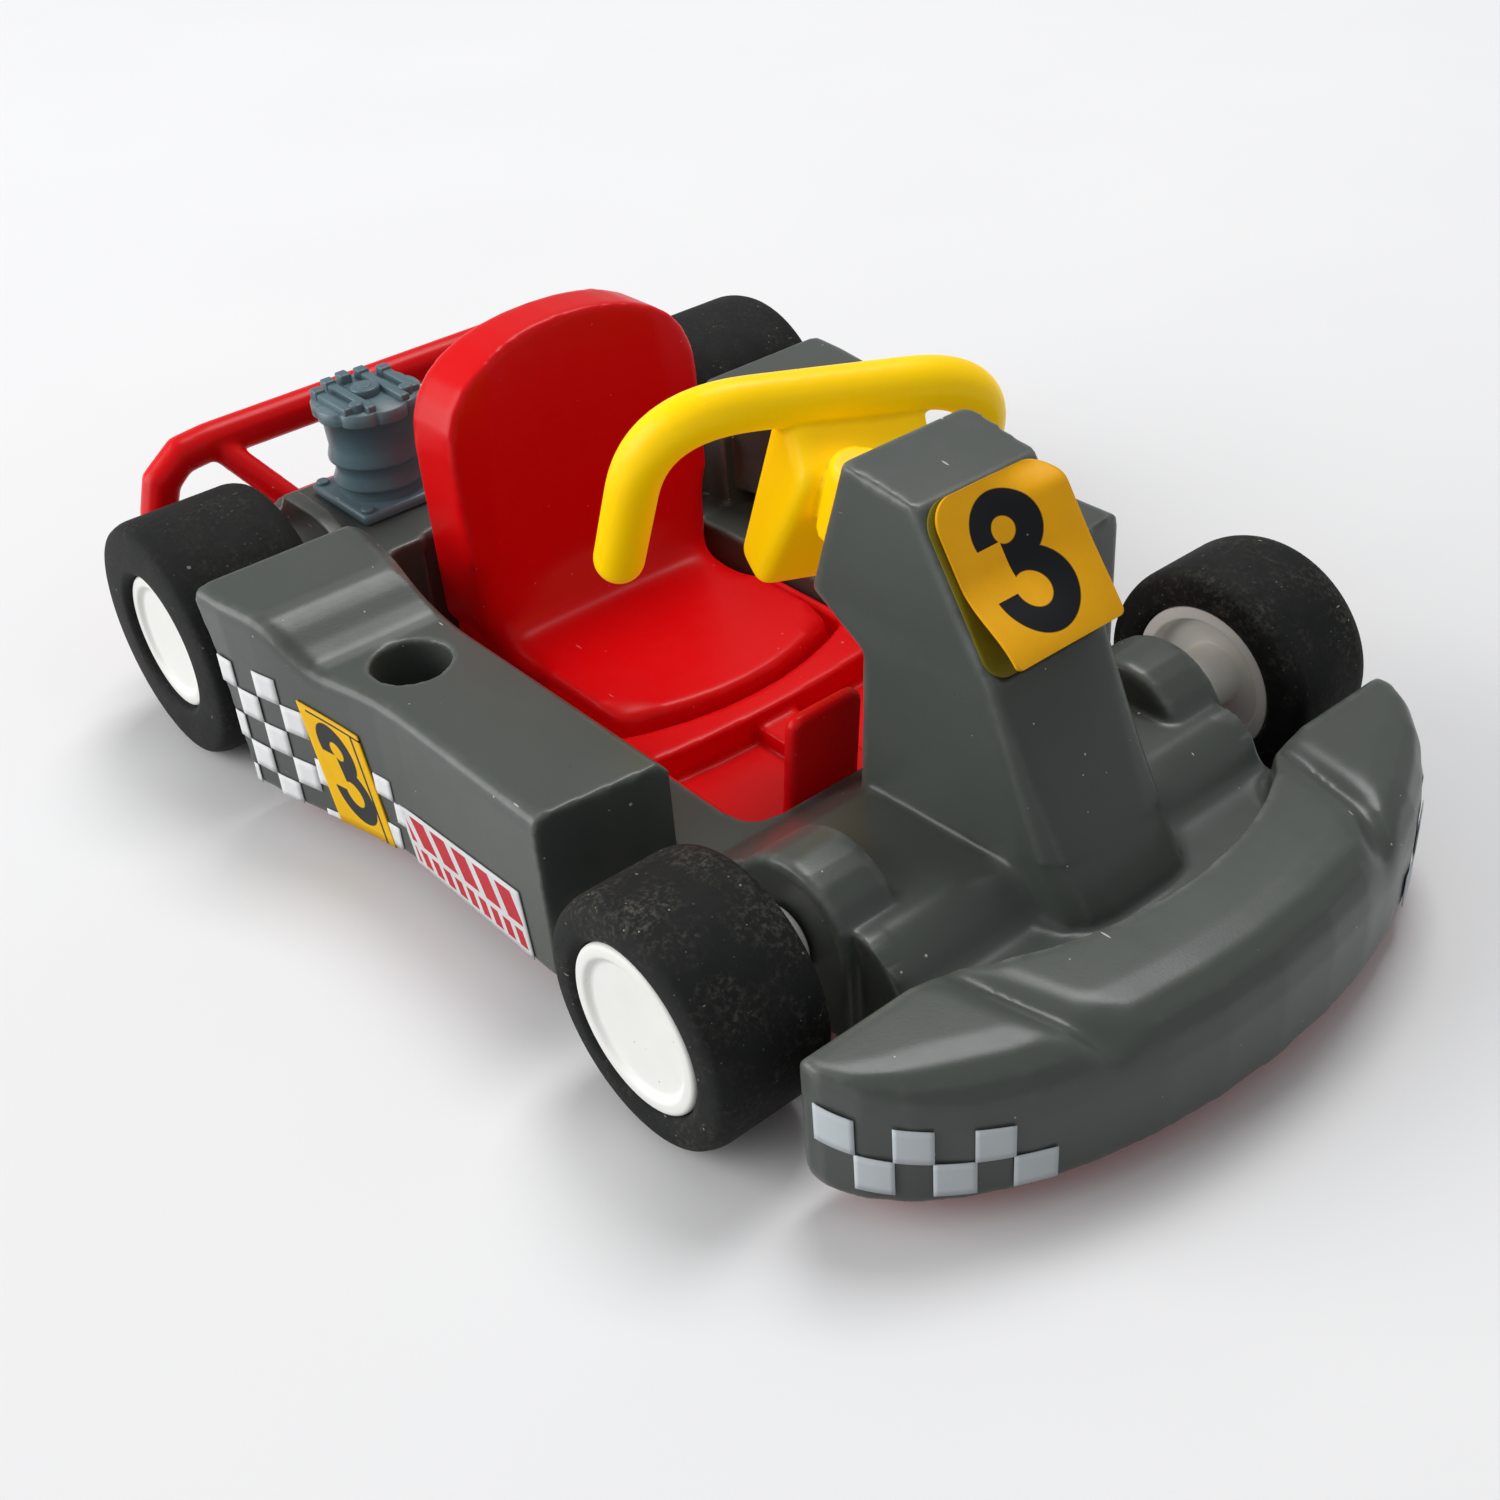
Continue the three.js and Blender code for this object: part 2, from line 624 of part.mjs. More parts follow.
function plateOutline(margin) {
  const half = PLATE_HALF + margin;
  const top = -PLATE_TOP_EDGE - PLATE_MARGIN + margin;
  const low = -PLATE_TOP_EDGE - PLATE_MARGIN - PLATE_H - margin;
  return rounded(box2(-half, low, half, top), [0.8, 0.8, PLATE_CORNER, PLATE_CORNER], 4);
}

// Frame of the steering pin: forward, left, and up along the pin
function steerFrame() {
  return new THREE.Matrix4().makeRotationY(LEAN).setPosition(PIVOT_X, 0, PIVOT_Z);
}

// Lugs behind the column that hold the steering pin.
function steeringLugs() {
  const wallFace = new THREE.Vector3(humpBack(PIVOT_Z), 0, PIVOT_Z);
  const reach = wallFace.applyMatrix4(steerFrame().invert()).x + WALL * 0.5;
  const outline = rounded(box2(-KNUCKLE_R, -KNUCKLE_R, reach, KNUCKLE_R), [KNUCKLE_R, 0, 0, KNUCKLE_R], 4);
  const upper = KNUCKLE_TOP + RUN_GAP;
  const lower = KNUCKLE_TOP - KNUCKLE_H - RUN_GAP - LUG_H;
  const lugs = [upper, lower].map((level) => {
    const plane = steerFrame().multiply(new THREE.Matrix4().makeTranslation(0, 0, level));
    return solidOf(pulled(outline, LUG_H, plane));
  });
  const bore = new THREE.CylinderGeometry(PIN_R + PRESS_GAP, PIN_R + PRESS_GAP, 60, 16).rotateX(Math.PI / 2);
  return joined(lugs).subtract(solidOf(bore.applyMatrix4(steerFrame())));
}

// A slot for an axle, open at the bottom of the shell.
function axleSlot(axle) {
  const half = AXLE_R + RUN_GAP;
  const outline = [
    [axle.x - half, 0], [axle.x + half, 0], [axle.x + half, axle.z + half], [axle.x - half, axle.z + half],
  ];
  const reach = Math.max(BOSS_OUT, DECK_HALF) + 1;
  return acrossY(rounded(outline, [0, 0, half, half], 4), -reach, reach);
}

// Rounded fairing over the front axle beside the hump.
function axleBoss(side, wall) {
  const edges = [side * (BOSS_IN + wall), side * (BOSS_OUT - wall)].sort((a, b) => a - b);
  const bossR = BOSS_R - wall;
  const arch = [new THREE.Vector2(FRONT_AXLE.x - bossR, BODY_BASE - 1 - wall)];
  for (let i = 0; i <= 12; i += 1) {
    const angle = Math.PI * (1 - i / 12);
    arch.push(new THREE.Vector2(FRONT_AXLE.x + bossR * Math.cos(angle), FRONT_AXLE.z + bossR * Math.sin(angle)));
  }
  arch.push(new THREE.Vector2(FRONT_AXLE.x + bossR, BODY_BASE - 1 - wall));
  return acrossY(arch, ...edges, wall > 0 ? 0 : BOSS_EDGE);
}

// The nose: a raised deck over the front axle and the trough ahead of it, or the hollow below.
function noseBlock(wall, low) {
  const ahead = BUMPER_BACK + 2 + wall;
  const half = NOSE_HALF - wall;
  return acrossY(sharp([
    [SHOULDER_BACK + wall, low], [ahead, low], [ahead, NOSE_Z - wall * 1.3], [SHOULDER_FOOT - wall / 2, NOSE_Z - wall * 1.3],
    [SHOULDER_FRONT - wall / 2, SHOULDER_Z - wall], [SHOULDER_BACK + wall, SHOULDER_Z - wall],
  ]), -half, half);
}

// Struts of the rear bumper; more than the bar's own radius makes their sockets.
function struts(radius, plug) {
  return bothSides((side) => {
    const from = new THREE.Vector3(LOOP_X, side * STRUT_Y, LOOP_TOP_Z);
    const foot = new THREE.Vector3(DECK_BACK, side * STRUT_FOOT_Y, STRUT_FOOT_Z);
    const ahead = foot.clone().sub(from).normalize();
    return barBetween(from, foot.addScaledVector(ahead, plug), radius, 12);
  });
}

// The grey body
function bodyShell() {
  const low = BODY_BASE - 1;
  const under = BODY_BASE - 4;
  const sills = upZ(sharp([
    [DECK_FRONT - 1, -FENDER_IN], [POD_FRONT - 1, -FENDER_IN], [SILL_FRONT, -NOSE_HALF],
    [SILL_FRONT, NOSE_HALF], [POD_FRONT - 1, FENDER_IN], [DECK_FRONT - 1, FENDER_IN],
  ]), low, SILL_Z);
  const nose = noseBlock(0, low).add(acrossY(sharp([
    [RAMP_BACK, low], [SHOULDER_BACK + 1, low], [SHOULDER_BACK + 1, SHOULDER_Z], [SHOULDER_BACK, SHOULDER_Z], [RAMP_BACK, SILL_Z],
  ]), -NOSE_HALF, NOSE_HALF));
  const deckPlan = rounded([
    [DECK_BACK, -DECK_HALF], [FENDER_BACK, -DECK_HALF], [FENDER_BACK + 1, -FENDER_IN - 1],
    [DECK_FRONT, -FENDER_IN - 1], [DECK_FRONT, FENDER_IN + 1], [FENDER_BACK + 1, FENDER_IN + 1],
    [FENDER_BACK, DECK_HALF], [DECK_BACK, DECK_HALF],
  ], [2, 0, 0, 0, 0, 0, 0, 2]);
  const deck = upZ(deckPlan, low, DECK_Z);
  const ribs = bothSides((side) => {
    const edges = [side * DECK_HALF, side * (DECK_HALF - DECK_RIB_W)].sort((a, b) => a - b);
    const line = [
      [DECK_BACK + 2, DECK_Z - 1], [FENDER_BACK + 1, DECK_Z - 1],
      [FENDER_BACK + 1, DECK_Z + DECK_RIB_H], [DECK_BACK + 4, DECK_Z + DECK_RIB_H],
    ];
    return acrossY(sharp(line), ...edges);
  });
  const outer = joined([
    sills, nose, deck, ...ribs, hump(0, low), bumperBody(0, low, 83, 16).subtract(bumperValley(0)),
    ...bothSides((side) => pod(side, 0, low)), ...bothSides((side) => axleBoss(side, 0)),
  ]);
  const cockpit = upZ(
    rounded(box2(COCKPIT_BACK, -COCKPIT_HALF, COCKPIT_FRONT, COCKPIT_HALF), COCKPIT_R, 3),
    under, HUMP_SKIRT_HALF + 60,
  );
  const keepColumn = upZ(sharp(box2(COCKPIT_BACK, -COCKPIT_HALF - 1, COCKPIT_FRONT + 1, COCKPIT_HALF + 1)),
    CHIN_Z - CHIN_UNDER - 0.5, COLUMN_TOP_Z + 2);
  const hollowDeck = upZ(sharp(box2(DECK_BACK + WALL, -DECK_HALF + WALL, COCKPIT_BACK + 1, DECK_HALF - WALL)),
    under, DECK_Z - WALL);
  const hollowNose = noseBlock(WALL, under);
  const hollowBumper = bumperBody(WALL, under, 70, 10).subtract(bumperValley(WALL))
    .subtract(joined(bothSides((side) => bumperGroove(side, WALL))));
  const hollows = joined([
    hollowDeck, hollowNose, hump(WALL, under), hollowBumper,
    ...bothSides((side) => pod(side, WALL, under)), ...bothSides((side) => axleBoss(side, WALL)),
  ]);
  const sockets = bothSides((side) => {
    const tube = turnedUp([
      [0, POD_TOP - SOCKET_DEPTH - SOCKET_WALL], [SOCKET_R + SOCKET_WALL, POD_TOP - SOCKET_DEPTH - SOCKET_WALL],
      [SOCKET_R + SOCKET_WALL, POD_TOP - WALL * 0.5], [0, POD_TOP - WALL * 0.5],
    ], 24);
    return tube.translate([SOCKET_X, side * SOCKET_Y, 0]);
  });
  const socketHoles = bothSides((side) => {
    const hole = turnedUp([
      [0, POD_TOP - SOCKET_DEPTH], [SOCKET_R, POD_TOP - SOCKET_DEPTH], [SOCKET_R, POD_TOP + 1], [0, POD_TOP + 1],
    ], 24);
    return hole.translate([SOCKET_X, side * SOCKET_Y, 0]);
  });
  const recess = solidOf(pulled(plateOutline(PLATE_MARGIN), 6, faceFrame()))
    .translate(faceOffset(-PLATE_RECESS));
  const enginePegHole = turnedUp([
    [0, DECK_Z - WALL - 1], [ENGINE_PEG_R + FIT_GAP, DECK_Z - WALL - 1],
    [ENGINE_PEG_R + FIT_GAP, DECK_Z + 1], [0, DECK_Z + 1],
  ], 16).translate([ENGINE_X, ENGINE_Y, 0]);
  const reach = 3 * BUMPER_HALF;
  const ground = upZ(sharp(box2(-reach, -reach, reach, reach)), under - 1, BODY_BASE);
  return outer
    .subtract(ground)
    .subtract(cockpit.subtract(keepColumn))
    .subtract(hollows)
    .add(joined(sockets))
    .subtract(joined(socketHoles))
    .subtract(joined(bothSides((side) => bumperGroove(side, 0))))
    .subtract(axleSlot(FRONT_AXLE))
    .subtract(axleSlot(REAR_AXLE))
    .subtract(joined(struts(STRUT_R + FIT_GAP, STRUT_PLUG + FIT_GAP)))
    .subtract(enginePegHole)
    .subtract(recess)
    .add(steeringLugs());
}

// Shift along the number face's outward direction.
function faceOffset(distance) {
  const out = new THREE.Vector3().setFromMatrixColumn(faceFrame(), 2).multiplyScalar(distance);
  return [out.x, out.y, out.z];
}

// The red base pan
function basePan() {
  const front = BUMPER_BACK + PAN_INSET;
  const ellipse = [];
  for (let i = 0; i <= 16; i += 1) {
    const angle = THREE.MathUtils.degToRad(75) * (2 * i / 16 - 1);
    ellipse.push([
      BUMPER_BACK + (BUMPER_DEPTH - 2 * PAN_INSET) * Math.cos(angle),
      (BUMPER_HALF - 2 * PAN_INSET) * Math.sin(angle),
    ]);
  }
  const half = [
    [front, BUMPER_HALF - 3 * PAN_INSET], [front, NOSE_HALF - PAN_INSET], [POD_FRONT - PAN_INSET, NOSE_HALF - PAN_INSET],
    [POD_FRONT - PAN_INSET, POD_OUT - PAN_INSET], [FLARE_FRONT, POD_OUT - PAN_INSET],
    [(FLARE_FRONT + FENDER_BACK) / 2, podOut((FLARE_FRONT + FENDER_BACK) / 2) - PAN_INSET],
    [FENDER_BACK + FENDER_RAKE + PAN_INSET, podOut(FENDER_BACK + FENDER_RAKE) - PAN_INSET],
    [FENDER_BACK + FENDER_RAKE + PAN_INSET, DECK_HALF - PAN_INSET], [DECK_BACK + PAN_INSET, DECK_HALF - PAN_INSET],
  ];
  const mirror = half.map(([x, y]) => [x, -y]).reverse();
  const plate = upZ(sharp([...ellipse, ...half, ...mirror]), PAN_BOTTOM, BODY_BASE);
  const tubBack = COCKPIT_BACK + TUB_GAP;
  const tubFront = COCKPIT_FRONT - TUB_GAP;
  const tub = upZ(rounded(box2(tubBack, -TUB_OUT, tubFront, TUB_OUT), COCKPIT_R - TUB_GAP, 3), PAN_BOTTOM, TUB_RIM);
  const well = upZ(
    rounded(box2(tubBack + TUB_WALL, -TUB_IN, tubFront - TUB_WALL, TUB_IN), COCKPIT_R - TUB_GAP - TUB_WALL, 3),
    FLOOR_Z, TUB_RIM + 1,
  );
  const stepHalf = TUB_IN + TUB_WALL / 2;
  const step = upZ(sharp([
    ...bowedEdge(STEP_X, STEP_BOW, stepHalf), ...bowedEdge(SEAT_FRONT + FIT_GAP, SEAT_BOW, stepHalf).reverse(),
  ]), BODY_BASE, STEP_Z);
  const pad = upZ(sharp(box2(STEP_X - 2, -PAD_HALF, tubFront - TUB_WALL / 2, PAD_HALF)), BODY_BASE, PAD_Z);
  const lean = THREE.MathUtils.degToRad(PEDAL_LEAN);
  const pedals = bothSides((side) => {
    const height = (PEDAL_TOP_Z - BODY_BASE) / Math.cos(lean);
    const outline = rounded(box2(PEDAL_IN, 0, PEDAL_OUT, height), [0, 0, 1.4, 1.4], 3);
    const place = new THREE.Matrix4().makeTranslation(PEDAL_FOOT_X, 0, BODY_BASE)
      .multiply(new THREE.Matrix4().makeRotationY(lean))
      .multiply(FRONT_PLANE);
    const plateSolid = solidOf(pulled(outline, PEDAL_T, place, 0.35, 1));
    return side > 0 ? plateSolid : plateSolid.mirror([0, 1, 0]);
  });
  const saddles = [FRONT_AXLE, REAR_AXLE].flatMap((axle, i) => bothSides((side) => {
    const face = (i === 0 ? NOSE_HALF : DECK_HALF) - WALL - FIT_GAP;
    const edges = [side * face, side * (face - SADDLE_T)].sort((a, b) => a - b);
    const block = acrossY(sharp(box2(axle.x - SADDLE_L / 2, PAN_BOTTOM, axle.x + SADDLE_L / 2, axle.z - RUN_GAP)), ...edges);
    const notch = turned([[0, -60], [AXLE_R + RUN_GAP, -60], [AXLE_R + RUN_GAP, 60], [0, 60]], 20);
    return block.subtract(notch.translate([axle.x, 0, axle.z]));
  }));
  return joined([plate, tub]).subtract(well).add(joined([step, pad, ...pedals, ...saddles]));
}

// Plan points of an edge across the kart that falls back towards its ends.
function bowedEdge(front, bow, half) {
  const points = [];
  for (let i = 0; i <= 8; i += 1) {
    const across = i / 4 - 1;
    points.push([front - bow * across * across, half * across]);
  }
  return points;
}

// The bucket seat: a pan in the tub and a wider arched back above the tub's rim
function seat() {
  const foot = FLOOR_Z;
  const backTop = SEAT_BACK_X - SEAT_BACK_RAKE;
  const backFoot = TUB_RIM + FIT_GAP;
  const pan = upZ(sharp([
    ...bowedEdge(SEAT_FRONT, SEAT_BOW, SEAT_HALF), [SEAT_BACK_X - SEAT_BACK_T, SEAT_HALF], [SEAT_BACK_X - SEAT_BACK_T, -SEAT_HALF],
  ]), foot, SEAT_PAN_Z, 0.6, 1);
  const cove = acrossY(rounded([
    [SEAT_BACK_X - 1, SEAT_PAN_Z - 1], [SEAT_BACK_X + SEAT_INNER_R, SEAT_PAN_Z - 1],
    [SEAT_BACK_X + SEAT_INNER_R, SEAT_PAN_Z], [SEAT_BACK_X, SEAT_PAN_Z], [SEAT_BACK_X, SEAT_PAN_Z + SEAT_INNER_R],
    [SEAT_BACK_X - 1, SEAT_PAN_Z + SEAT_INNER_R],
  ], [0, 0, 0, SEAT_INNER_R * 2, 0, 0], 4), -SEAT_HALF, SEAT_HALF);
  const slab = acrossY(sharp([
    [SEAT_BACK_X, SEAT_PAN_Z - 1], [backTop, SEAT_TOP_Z + 1], [backTop - SEAT_BACK_T, SEAT_TOP_Z + 1],
    [SEAT_BACK_X - SEAT_BACK_T, SEAT_PAN_Z - 1],
  ]), -SEAT_BACK_HALF, SEAT_BACK_HALF);
  const crown = new THREE.CubicBezierCurve(
    new THREE.Vector2(SEAT_BACK_HALF, SEAT_SHOULDER_Z - 3), new THREE.Vector2(SEAT_BACK_HALF, SEAT_TOP_Z - 2.4),
    new THREE.Vector2(SEAT_BACK_HALF * 0.55, SEAT_TOP_Z), new THREE.Vector2(0, SEAT_TOP_Z),
  ).getPoints(8);
  const right = [
    new THREE.Vector2(SEAT_HALF, SEAT_PAN_Z - 2), new THREE.Vector2(SEAT_HALF, backFoot),
    new THREE.Vector2(SEAT_BACK_HALF, backFoot + 2), ...crown,
  ];
  const left = right.slice(0, -1).map((p) => new THREE.Vector2(-p.x, p.y)).reverse();
  const front = alongX([...right, ...left], backTop - SEAT_BACK_T, SEAT_BACK_X, SEAT_EDGE, 2);
  const hollow = turnedUp([
    [0, SEAT_PAN_Z + SEAT_INNER_R], [SEAT_HOLLOW_R, SEAT_PAN_Z + SEAT_INNER_R],
    [SEAT_HOLLOW_R, SEAT_TOP_Z + 4], [0, SEAT_TOP_Z + 4],
  ], 72).translate([backTop + SEAT_HOLLOW_R - SEAT_HOLLOW, 0, 0]);
  return joined([pan, cove, slab.intersect(front)]).subtract(hollow);
}

// The yellow steering yoke, drawn straight ahead in the pin's frame
function steeringYoke() {
  const bar = -YOKE_REACH;
  const tip = (side) => new THREE.Vector3(bar - GRIP_SWEEP, side * YOKE_HALF, -GRIP_LENGTH);
  const corner = (side) => new THREE.Vector3(bar, side * YOKE_HALF, 0);
  const down = tip(1).sub(corner(1)).normalize();
  const bendLow = (side) => corner(side).addScaledVector(down, YOKE_BEND);
  const bendIn = (side) => corner(side).add(new THREE.Vector3(0, -side * YOKE_BEND, 0));
  const path = new THREE.CurvePath();
  path.add(new THREE.LineCurve3(tip(1), bendLow(1)));
  path.add(new THREE.QuadraticBezierCurve3(bendLow(1), corner(1), bendIn(1)));
  path.add(new THREE.LineCurve3(bendIn(1), bendIn(-1)));
  path.add(new THREE.QuadraticBezierCurve3(bendIn(-1), corner(-1), bendLow(-1)));
  path.add(new THREE.LineCurve3(bendLow(-1), tip(-1)));
  const tube = barAlong(path, YOKE_BAR_R, 30, 12);
  const ends = bothSides((side) => {
    const ball = new THREE.SphereGeometry(YOKE_BAR_R, 12, 6);
    return solidOf(ball.translate(...tip(side).toArray()));
  });
  const plateOutlineYZ = rounded(
    box2(-YOKE_PLATE_HALF, -YOKE_PLATE_H, YOKE_PLATE_HALF, YOKE_BAR_R * 0.4), [1.6, 1.6, 0, 0], 3,
  );
  const plate = alongX(plateOutlineYZ, bar - YOKE_PLATE_T / 2, bar + YOKE_PLATE_T / 2, 0.6, 2);
  const knuckleLow = KNUCKLE_TOP - KNUCKLE_H;
  const arm = acrossY(sharp([
    [bar, knuckleLow - ARM_DROP], [-ARM_LEVEL, knuckleLow], [0, knuckleLow],
    [0, KNUCKLE_TOP], [-ARM_LEVEL, KNUCKLE_TOP], [bar, KNUCKLE_TOP - ARM_DROP],
  ]), -ARM_HALF, ARM_HALF);
  const knuckle = turnedUp([[0, knuckleLow], [KNUCKLE_R, knuckleLow], [KNUCKLE_R, KNUCKLE_TOP], [0, KNUCKLE_TOP]], 20);
  const bore = turnedUp([
    [0, knuckleLow - 1], [PIN_R + RUN_GAP, knuckleLow - 1], [PIN_R + RUN_GAP, KNUCKLE_TOP + 1], [0, KNUCKLE_TOP + 1],
  ], 16);
  return joined([tube, ...ends, plate, arm, knuckle]).subtract(bore);
}

function steeringPin() {
  const low = KNUCKLE_TOP - KNUCKLE_H - RUN_GAP - LUG_H;
  const high = KNUCKLE_TOP + RUN_GAP + LUG_H;
  return turnedUp([[0, low], [PIN_R, low], [PIN_R, high], [0, high]], 16);
}

// The engine, drawn about its own upright axis from the deck upwards
function engine() {
  const base = upZ(rounded(box2(-ENGINE_BASE / 2, -ENGINE_BASE / 2, ENGINE_BASE / 2, ENGINE_BASE / 2), 1.4, 3),
    0, ENGINE_BASE_T, 0.3, 1);
  const profile = [[0, -ENGINE_PEG_L], [ENGINE_PEG_R, -ENGINE_PEG_L], [ENGINE_PEG_R, 0.4], [ENGINE_R + 0.5, 0.4]];
  const pitch = ENGINE_BARREL_H / ENGINE_RINGS;
  for (let i = 0; i < ENGINE_RINGS; i += 1) {
    const z = ENGINE_BASE_T + i * pitch;
    profile.push([ENGINE_R + ENGINE_RING * (i % 2), z + 0.1], [ENGINE_R + ENGINE_RING * (i % 2), z + pitch - 0.1]);
  }
  const headLow = ENGINE_BASE_T + ENGINE_BARREL_H;
  const headTop = headLow + ENGINE_HEAD_H;
  profile.push([ENGINE_HEAD_R - 0.3, headLow], [ENGINE_HEAD_R, headLow + 0.3], [ENGINE_HEAD_R, headTop - 0.3]);
  profile.push([ENGINE_HEAD_R - 0.3, headTop], [0, headTop]);
  const barrel = turnedUp(profile, 24);
  const fins = [];
  for (let i = 0; i < ENGINE_FINS; i += 1) {
    const angle = (i / ENGINE_FINS) * 2 * Math.PI;
    const fin = upZ(sharp(box2(ENGINE_R * 0.5, -0.55, ENGINE_HEAD_R - 0.4, 0.55)), headTop - 0.5, headTop + ENGINE_FIN_H);
    fins.push(fin.rotate([0, 0, THREE.MathUtils.radToDeg(angle)]));
  }
  const plug = turnedUp([
    [0, headTop - 0.5], [ENGINE_R * 0.34, headTop - 0.5], [ENGINE_R * 0.34, headTop + ENGINE_FIN_H],
    [0, headTop + ENGINE_FIN_H],
  ], 16);
  return joined([base, barrel, plug, ...fins]);
}

// The rear bumper loop
function rearBumper() {
  const bend = (LOOP_TOP_Z - LOOP_LOW_Z) / 2;
  const middle = (LOOP_TOP_Z + LOOP_LOW_Z) / 2;
  const halves = bothSides((side) => {
    const points = [new THREE.Vector3(LOOP_X, -side * 0.4, LOOP_TOP_Z)];
    for (let i = 0; i <= 8; i += 1) {
      const angle = Math.PI * (0.5 - i / 8);
      const y = LOOP_HALF - LOOP_R - bend + bend * Math.cos(angle);
      points.push(new THREE.Vector3(LOOP_X, side * y, middle + bend * Math.sin(angle)));
    }
    points.push(new THREE.Vector3(LOOP_X, -side * 0.4, LOOP_LOW_Z));
    const path = new THREE.CurvePath();
    points.slice(1).forEach((point, i) => path.add(new THREE.LineCurve3(points[i], point)));
    return barAlong(path, LOOP_R, 20, 12);
  });
  return joined([...halves, ...struts(STRUT_R, STRUT_PLUG)]);
}

// Wheels, drawn about the Y axis with the outer face towards +Y and the wheel's middle at zero
function tyre(radius, width, rimR) {
  const bore = rimR + PRESS_GAP;
  const half = width / 2;
  const profile = [[bore, -half + 0.4], [bore + 0.4, -half]];
  for (let i = 0; i <= 3; i += 1) {
    const angle = (i / 3) * Math.PI / 2;
    profile.push([radius - TYRE_SHOULDER * (1 - Math.sin(angle)), -half + TYRE_SHOULDER * (1 - Math.cos(angle))]);
  }
  const other = profile.map(([r, a]) => [r, -a]).reverse();
  return turned([...profile, ...other, profile[0]], 32);
}

function rim(rimR, width, set, hubInner) {
  const face = width / 2 - set;
  const floor = face - RIM_DISH;
  const inner = -width / 2 + 0.6;
  const disc = inner + RIM_INNER_DISH;
  const bore = AXLE_R + PRESS_GAP;
  return turned([
    [0, floor], [rimR - RIM_LIP_W - 0.3, floor], [rimR - RIM_LIP_W, face - 0.15], [rimR - RIM_LIP_W + 0.2, face],
    [rimR - 0.3, face], [rimR, face - 0.3], [rimR, inner], [rimR - RIM_BARREL, inner],
    [rimR - RIM_BARREL, disc], [HUB_R, disc], [HUB_R, hubInner], [bore, hubInner],
    [bore, floor - BORE_FLOOR], [0, floor - BORE_FLOOR],
  ], 24);
}

function axle(track, set) {
  const half = track / 2 - set - RIM_DISH - BORE_FLOOR - PRESS_GAP;
  return turned([[0, -half], [AXLE_R, -half], [AXLE_R, half], [0, half]], 20);
}

// A wheelset group: axle, two rims and two tyres about one line.
function wheelset(end, place, tyreR, tyreW, track, rimR, set, bearing) {
  const group = new THREE.Group();
  group.position.copy(place);
  const middle = track / 2 - tyreW / 2;
  const hubInner = bearing + RUN_GAP - middle;
  group.add(piece(`${end}_axle`, axle(track, set), STEEL));
  bothSides((side) => {
    const wheel = new THREE.Group();
    wheel.position.y = side * middle;
    wheel.rotation.z = side > 0 ? 0 : Math.PI;
    const hand = side > 0 ? 'left' : 'right';
    wheel.add(piece(`${end}_rim_${hand}`, rim(rimR, tyreW, set, hubInner), WHITE));
    wheel.add(piece(`${end}_tyre_${hand}`, tyre(tyreR, tyreW, rimR), RUBBER));
    group.add(wheel);
  });
  return group;
}

// Printed films
function sideFilm(side) {
  const stops = podStops().filter((x) => x > SIDE_FILM_BACK);
  const places = [SIDE_FILM_FRONT, ...stops, Math.max(SIDE_FILM_BACK, podStops().at(-1))];
  const rings = places.map((x) => {
    const inner = podOut(x) + FILM_GAP;
    const along = (x - SIDE_FILM_BACK) / (SIDE_FILM_FRONT - SIDE_FILM_BACK);
    const top = SIDE_FILM_TOP_BACK + (SIDE_FILM_TOP_FRONT - SIDE_FILM_TOP_BACK) * along;
    return box2(inner, SIDE_FILM_LOW, inner + FILM_T, top)
      .map(([y, z]) => new THREE.Vector3(x, side * y, z));
  });
  return loft(rings);
}

function bumperFilm(side) {
  const rings = [];
  for (let i = 0; i <= 10; i += 1) {
    const angle = THREE.MathUtils.degToRad(BUMPER_FILM_FROM + ((BUMPER_FILM_TO - BUMPER_FILM_FROM) * i) / 10);
    const foot = new THREE.Vector2(BUMPER_BACK + BUMPER_DEPTH * Math.cos(angle), BUMPER_HALF * Math.sin(angle));
    const normal = new THREE.Vector2(Math.cos(angle) / BUMPER_DEPTH, Math.sin(angle) / BUMPER_HALF).normalize();
    const inner = foot.clone().addScaledVector(normal, FILM_GAP);
    const outer = inner.clone().addScaledVector(normal, FILM_T);
    const top = BUMPER_FILM_TOP + (BUMPER_FILM_RISE * i) / 10;
    rings.push([[inner, BUMPER_FILM_LOW], [outer, BUMPER_FILM_LOW], [outer, top], [inner, top]]
      .map(([p, z]) => new THREE.Vector3(p.x, side * p.y, z)));
  }
  return loft(rings);
}

// Assembly
const kart = new THREE.Group();
kart.position.x = -ORIGIN_X;
kart.add(piece('body_shell', bodyShell(), GREY));
kart.add(piece('base_pan', basePan(), RED));
kart.add(piece('seat', seat(), RED));
kart.add(piece('rear_bumper', rearBumper(), RED));

const engineMesh = piece('engine', engine(), BLUE_GREY);
engineMesh.position.set(ENGINE_X, ENGINE_Y, DECK_Z);
kart.add(engineMesh);

const steering = new THREE.Group();
steering.position.set(PIVOT_X, 0, PIVOT_Z);
steering.rotation.y = LEAN;
const yokeMesh = piece('steering_yoke', steeringYoke(), YELLOW);
yokeMesh.rotation.z = THREE.MathUtils.degToRad(STEER_TURN);
steering.add(yokeMesh, piece('steering_pin', steeringPin(), STEEL));
kart.add(steering);

const plateSolid = solidOf(pulled(plateOutline(0), PLATE_T, faceFrame())).translate(faceOffset(FIT_GAP - PLATE_RECESS));
kart.add(piece('number_plate', plateSolid, PLATE_YELLOW));

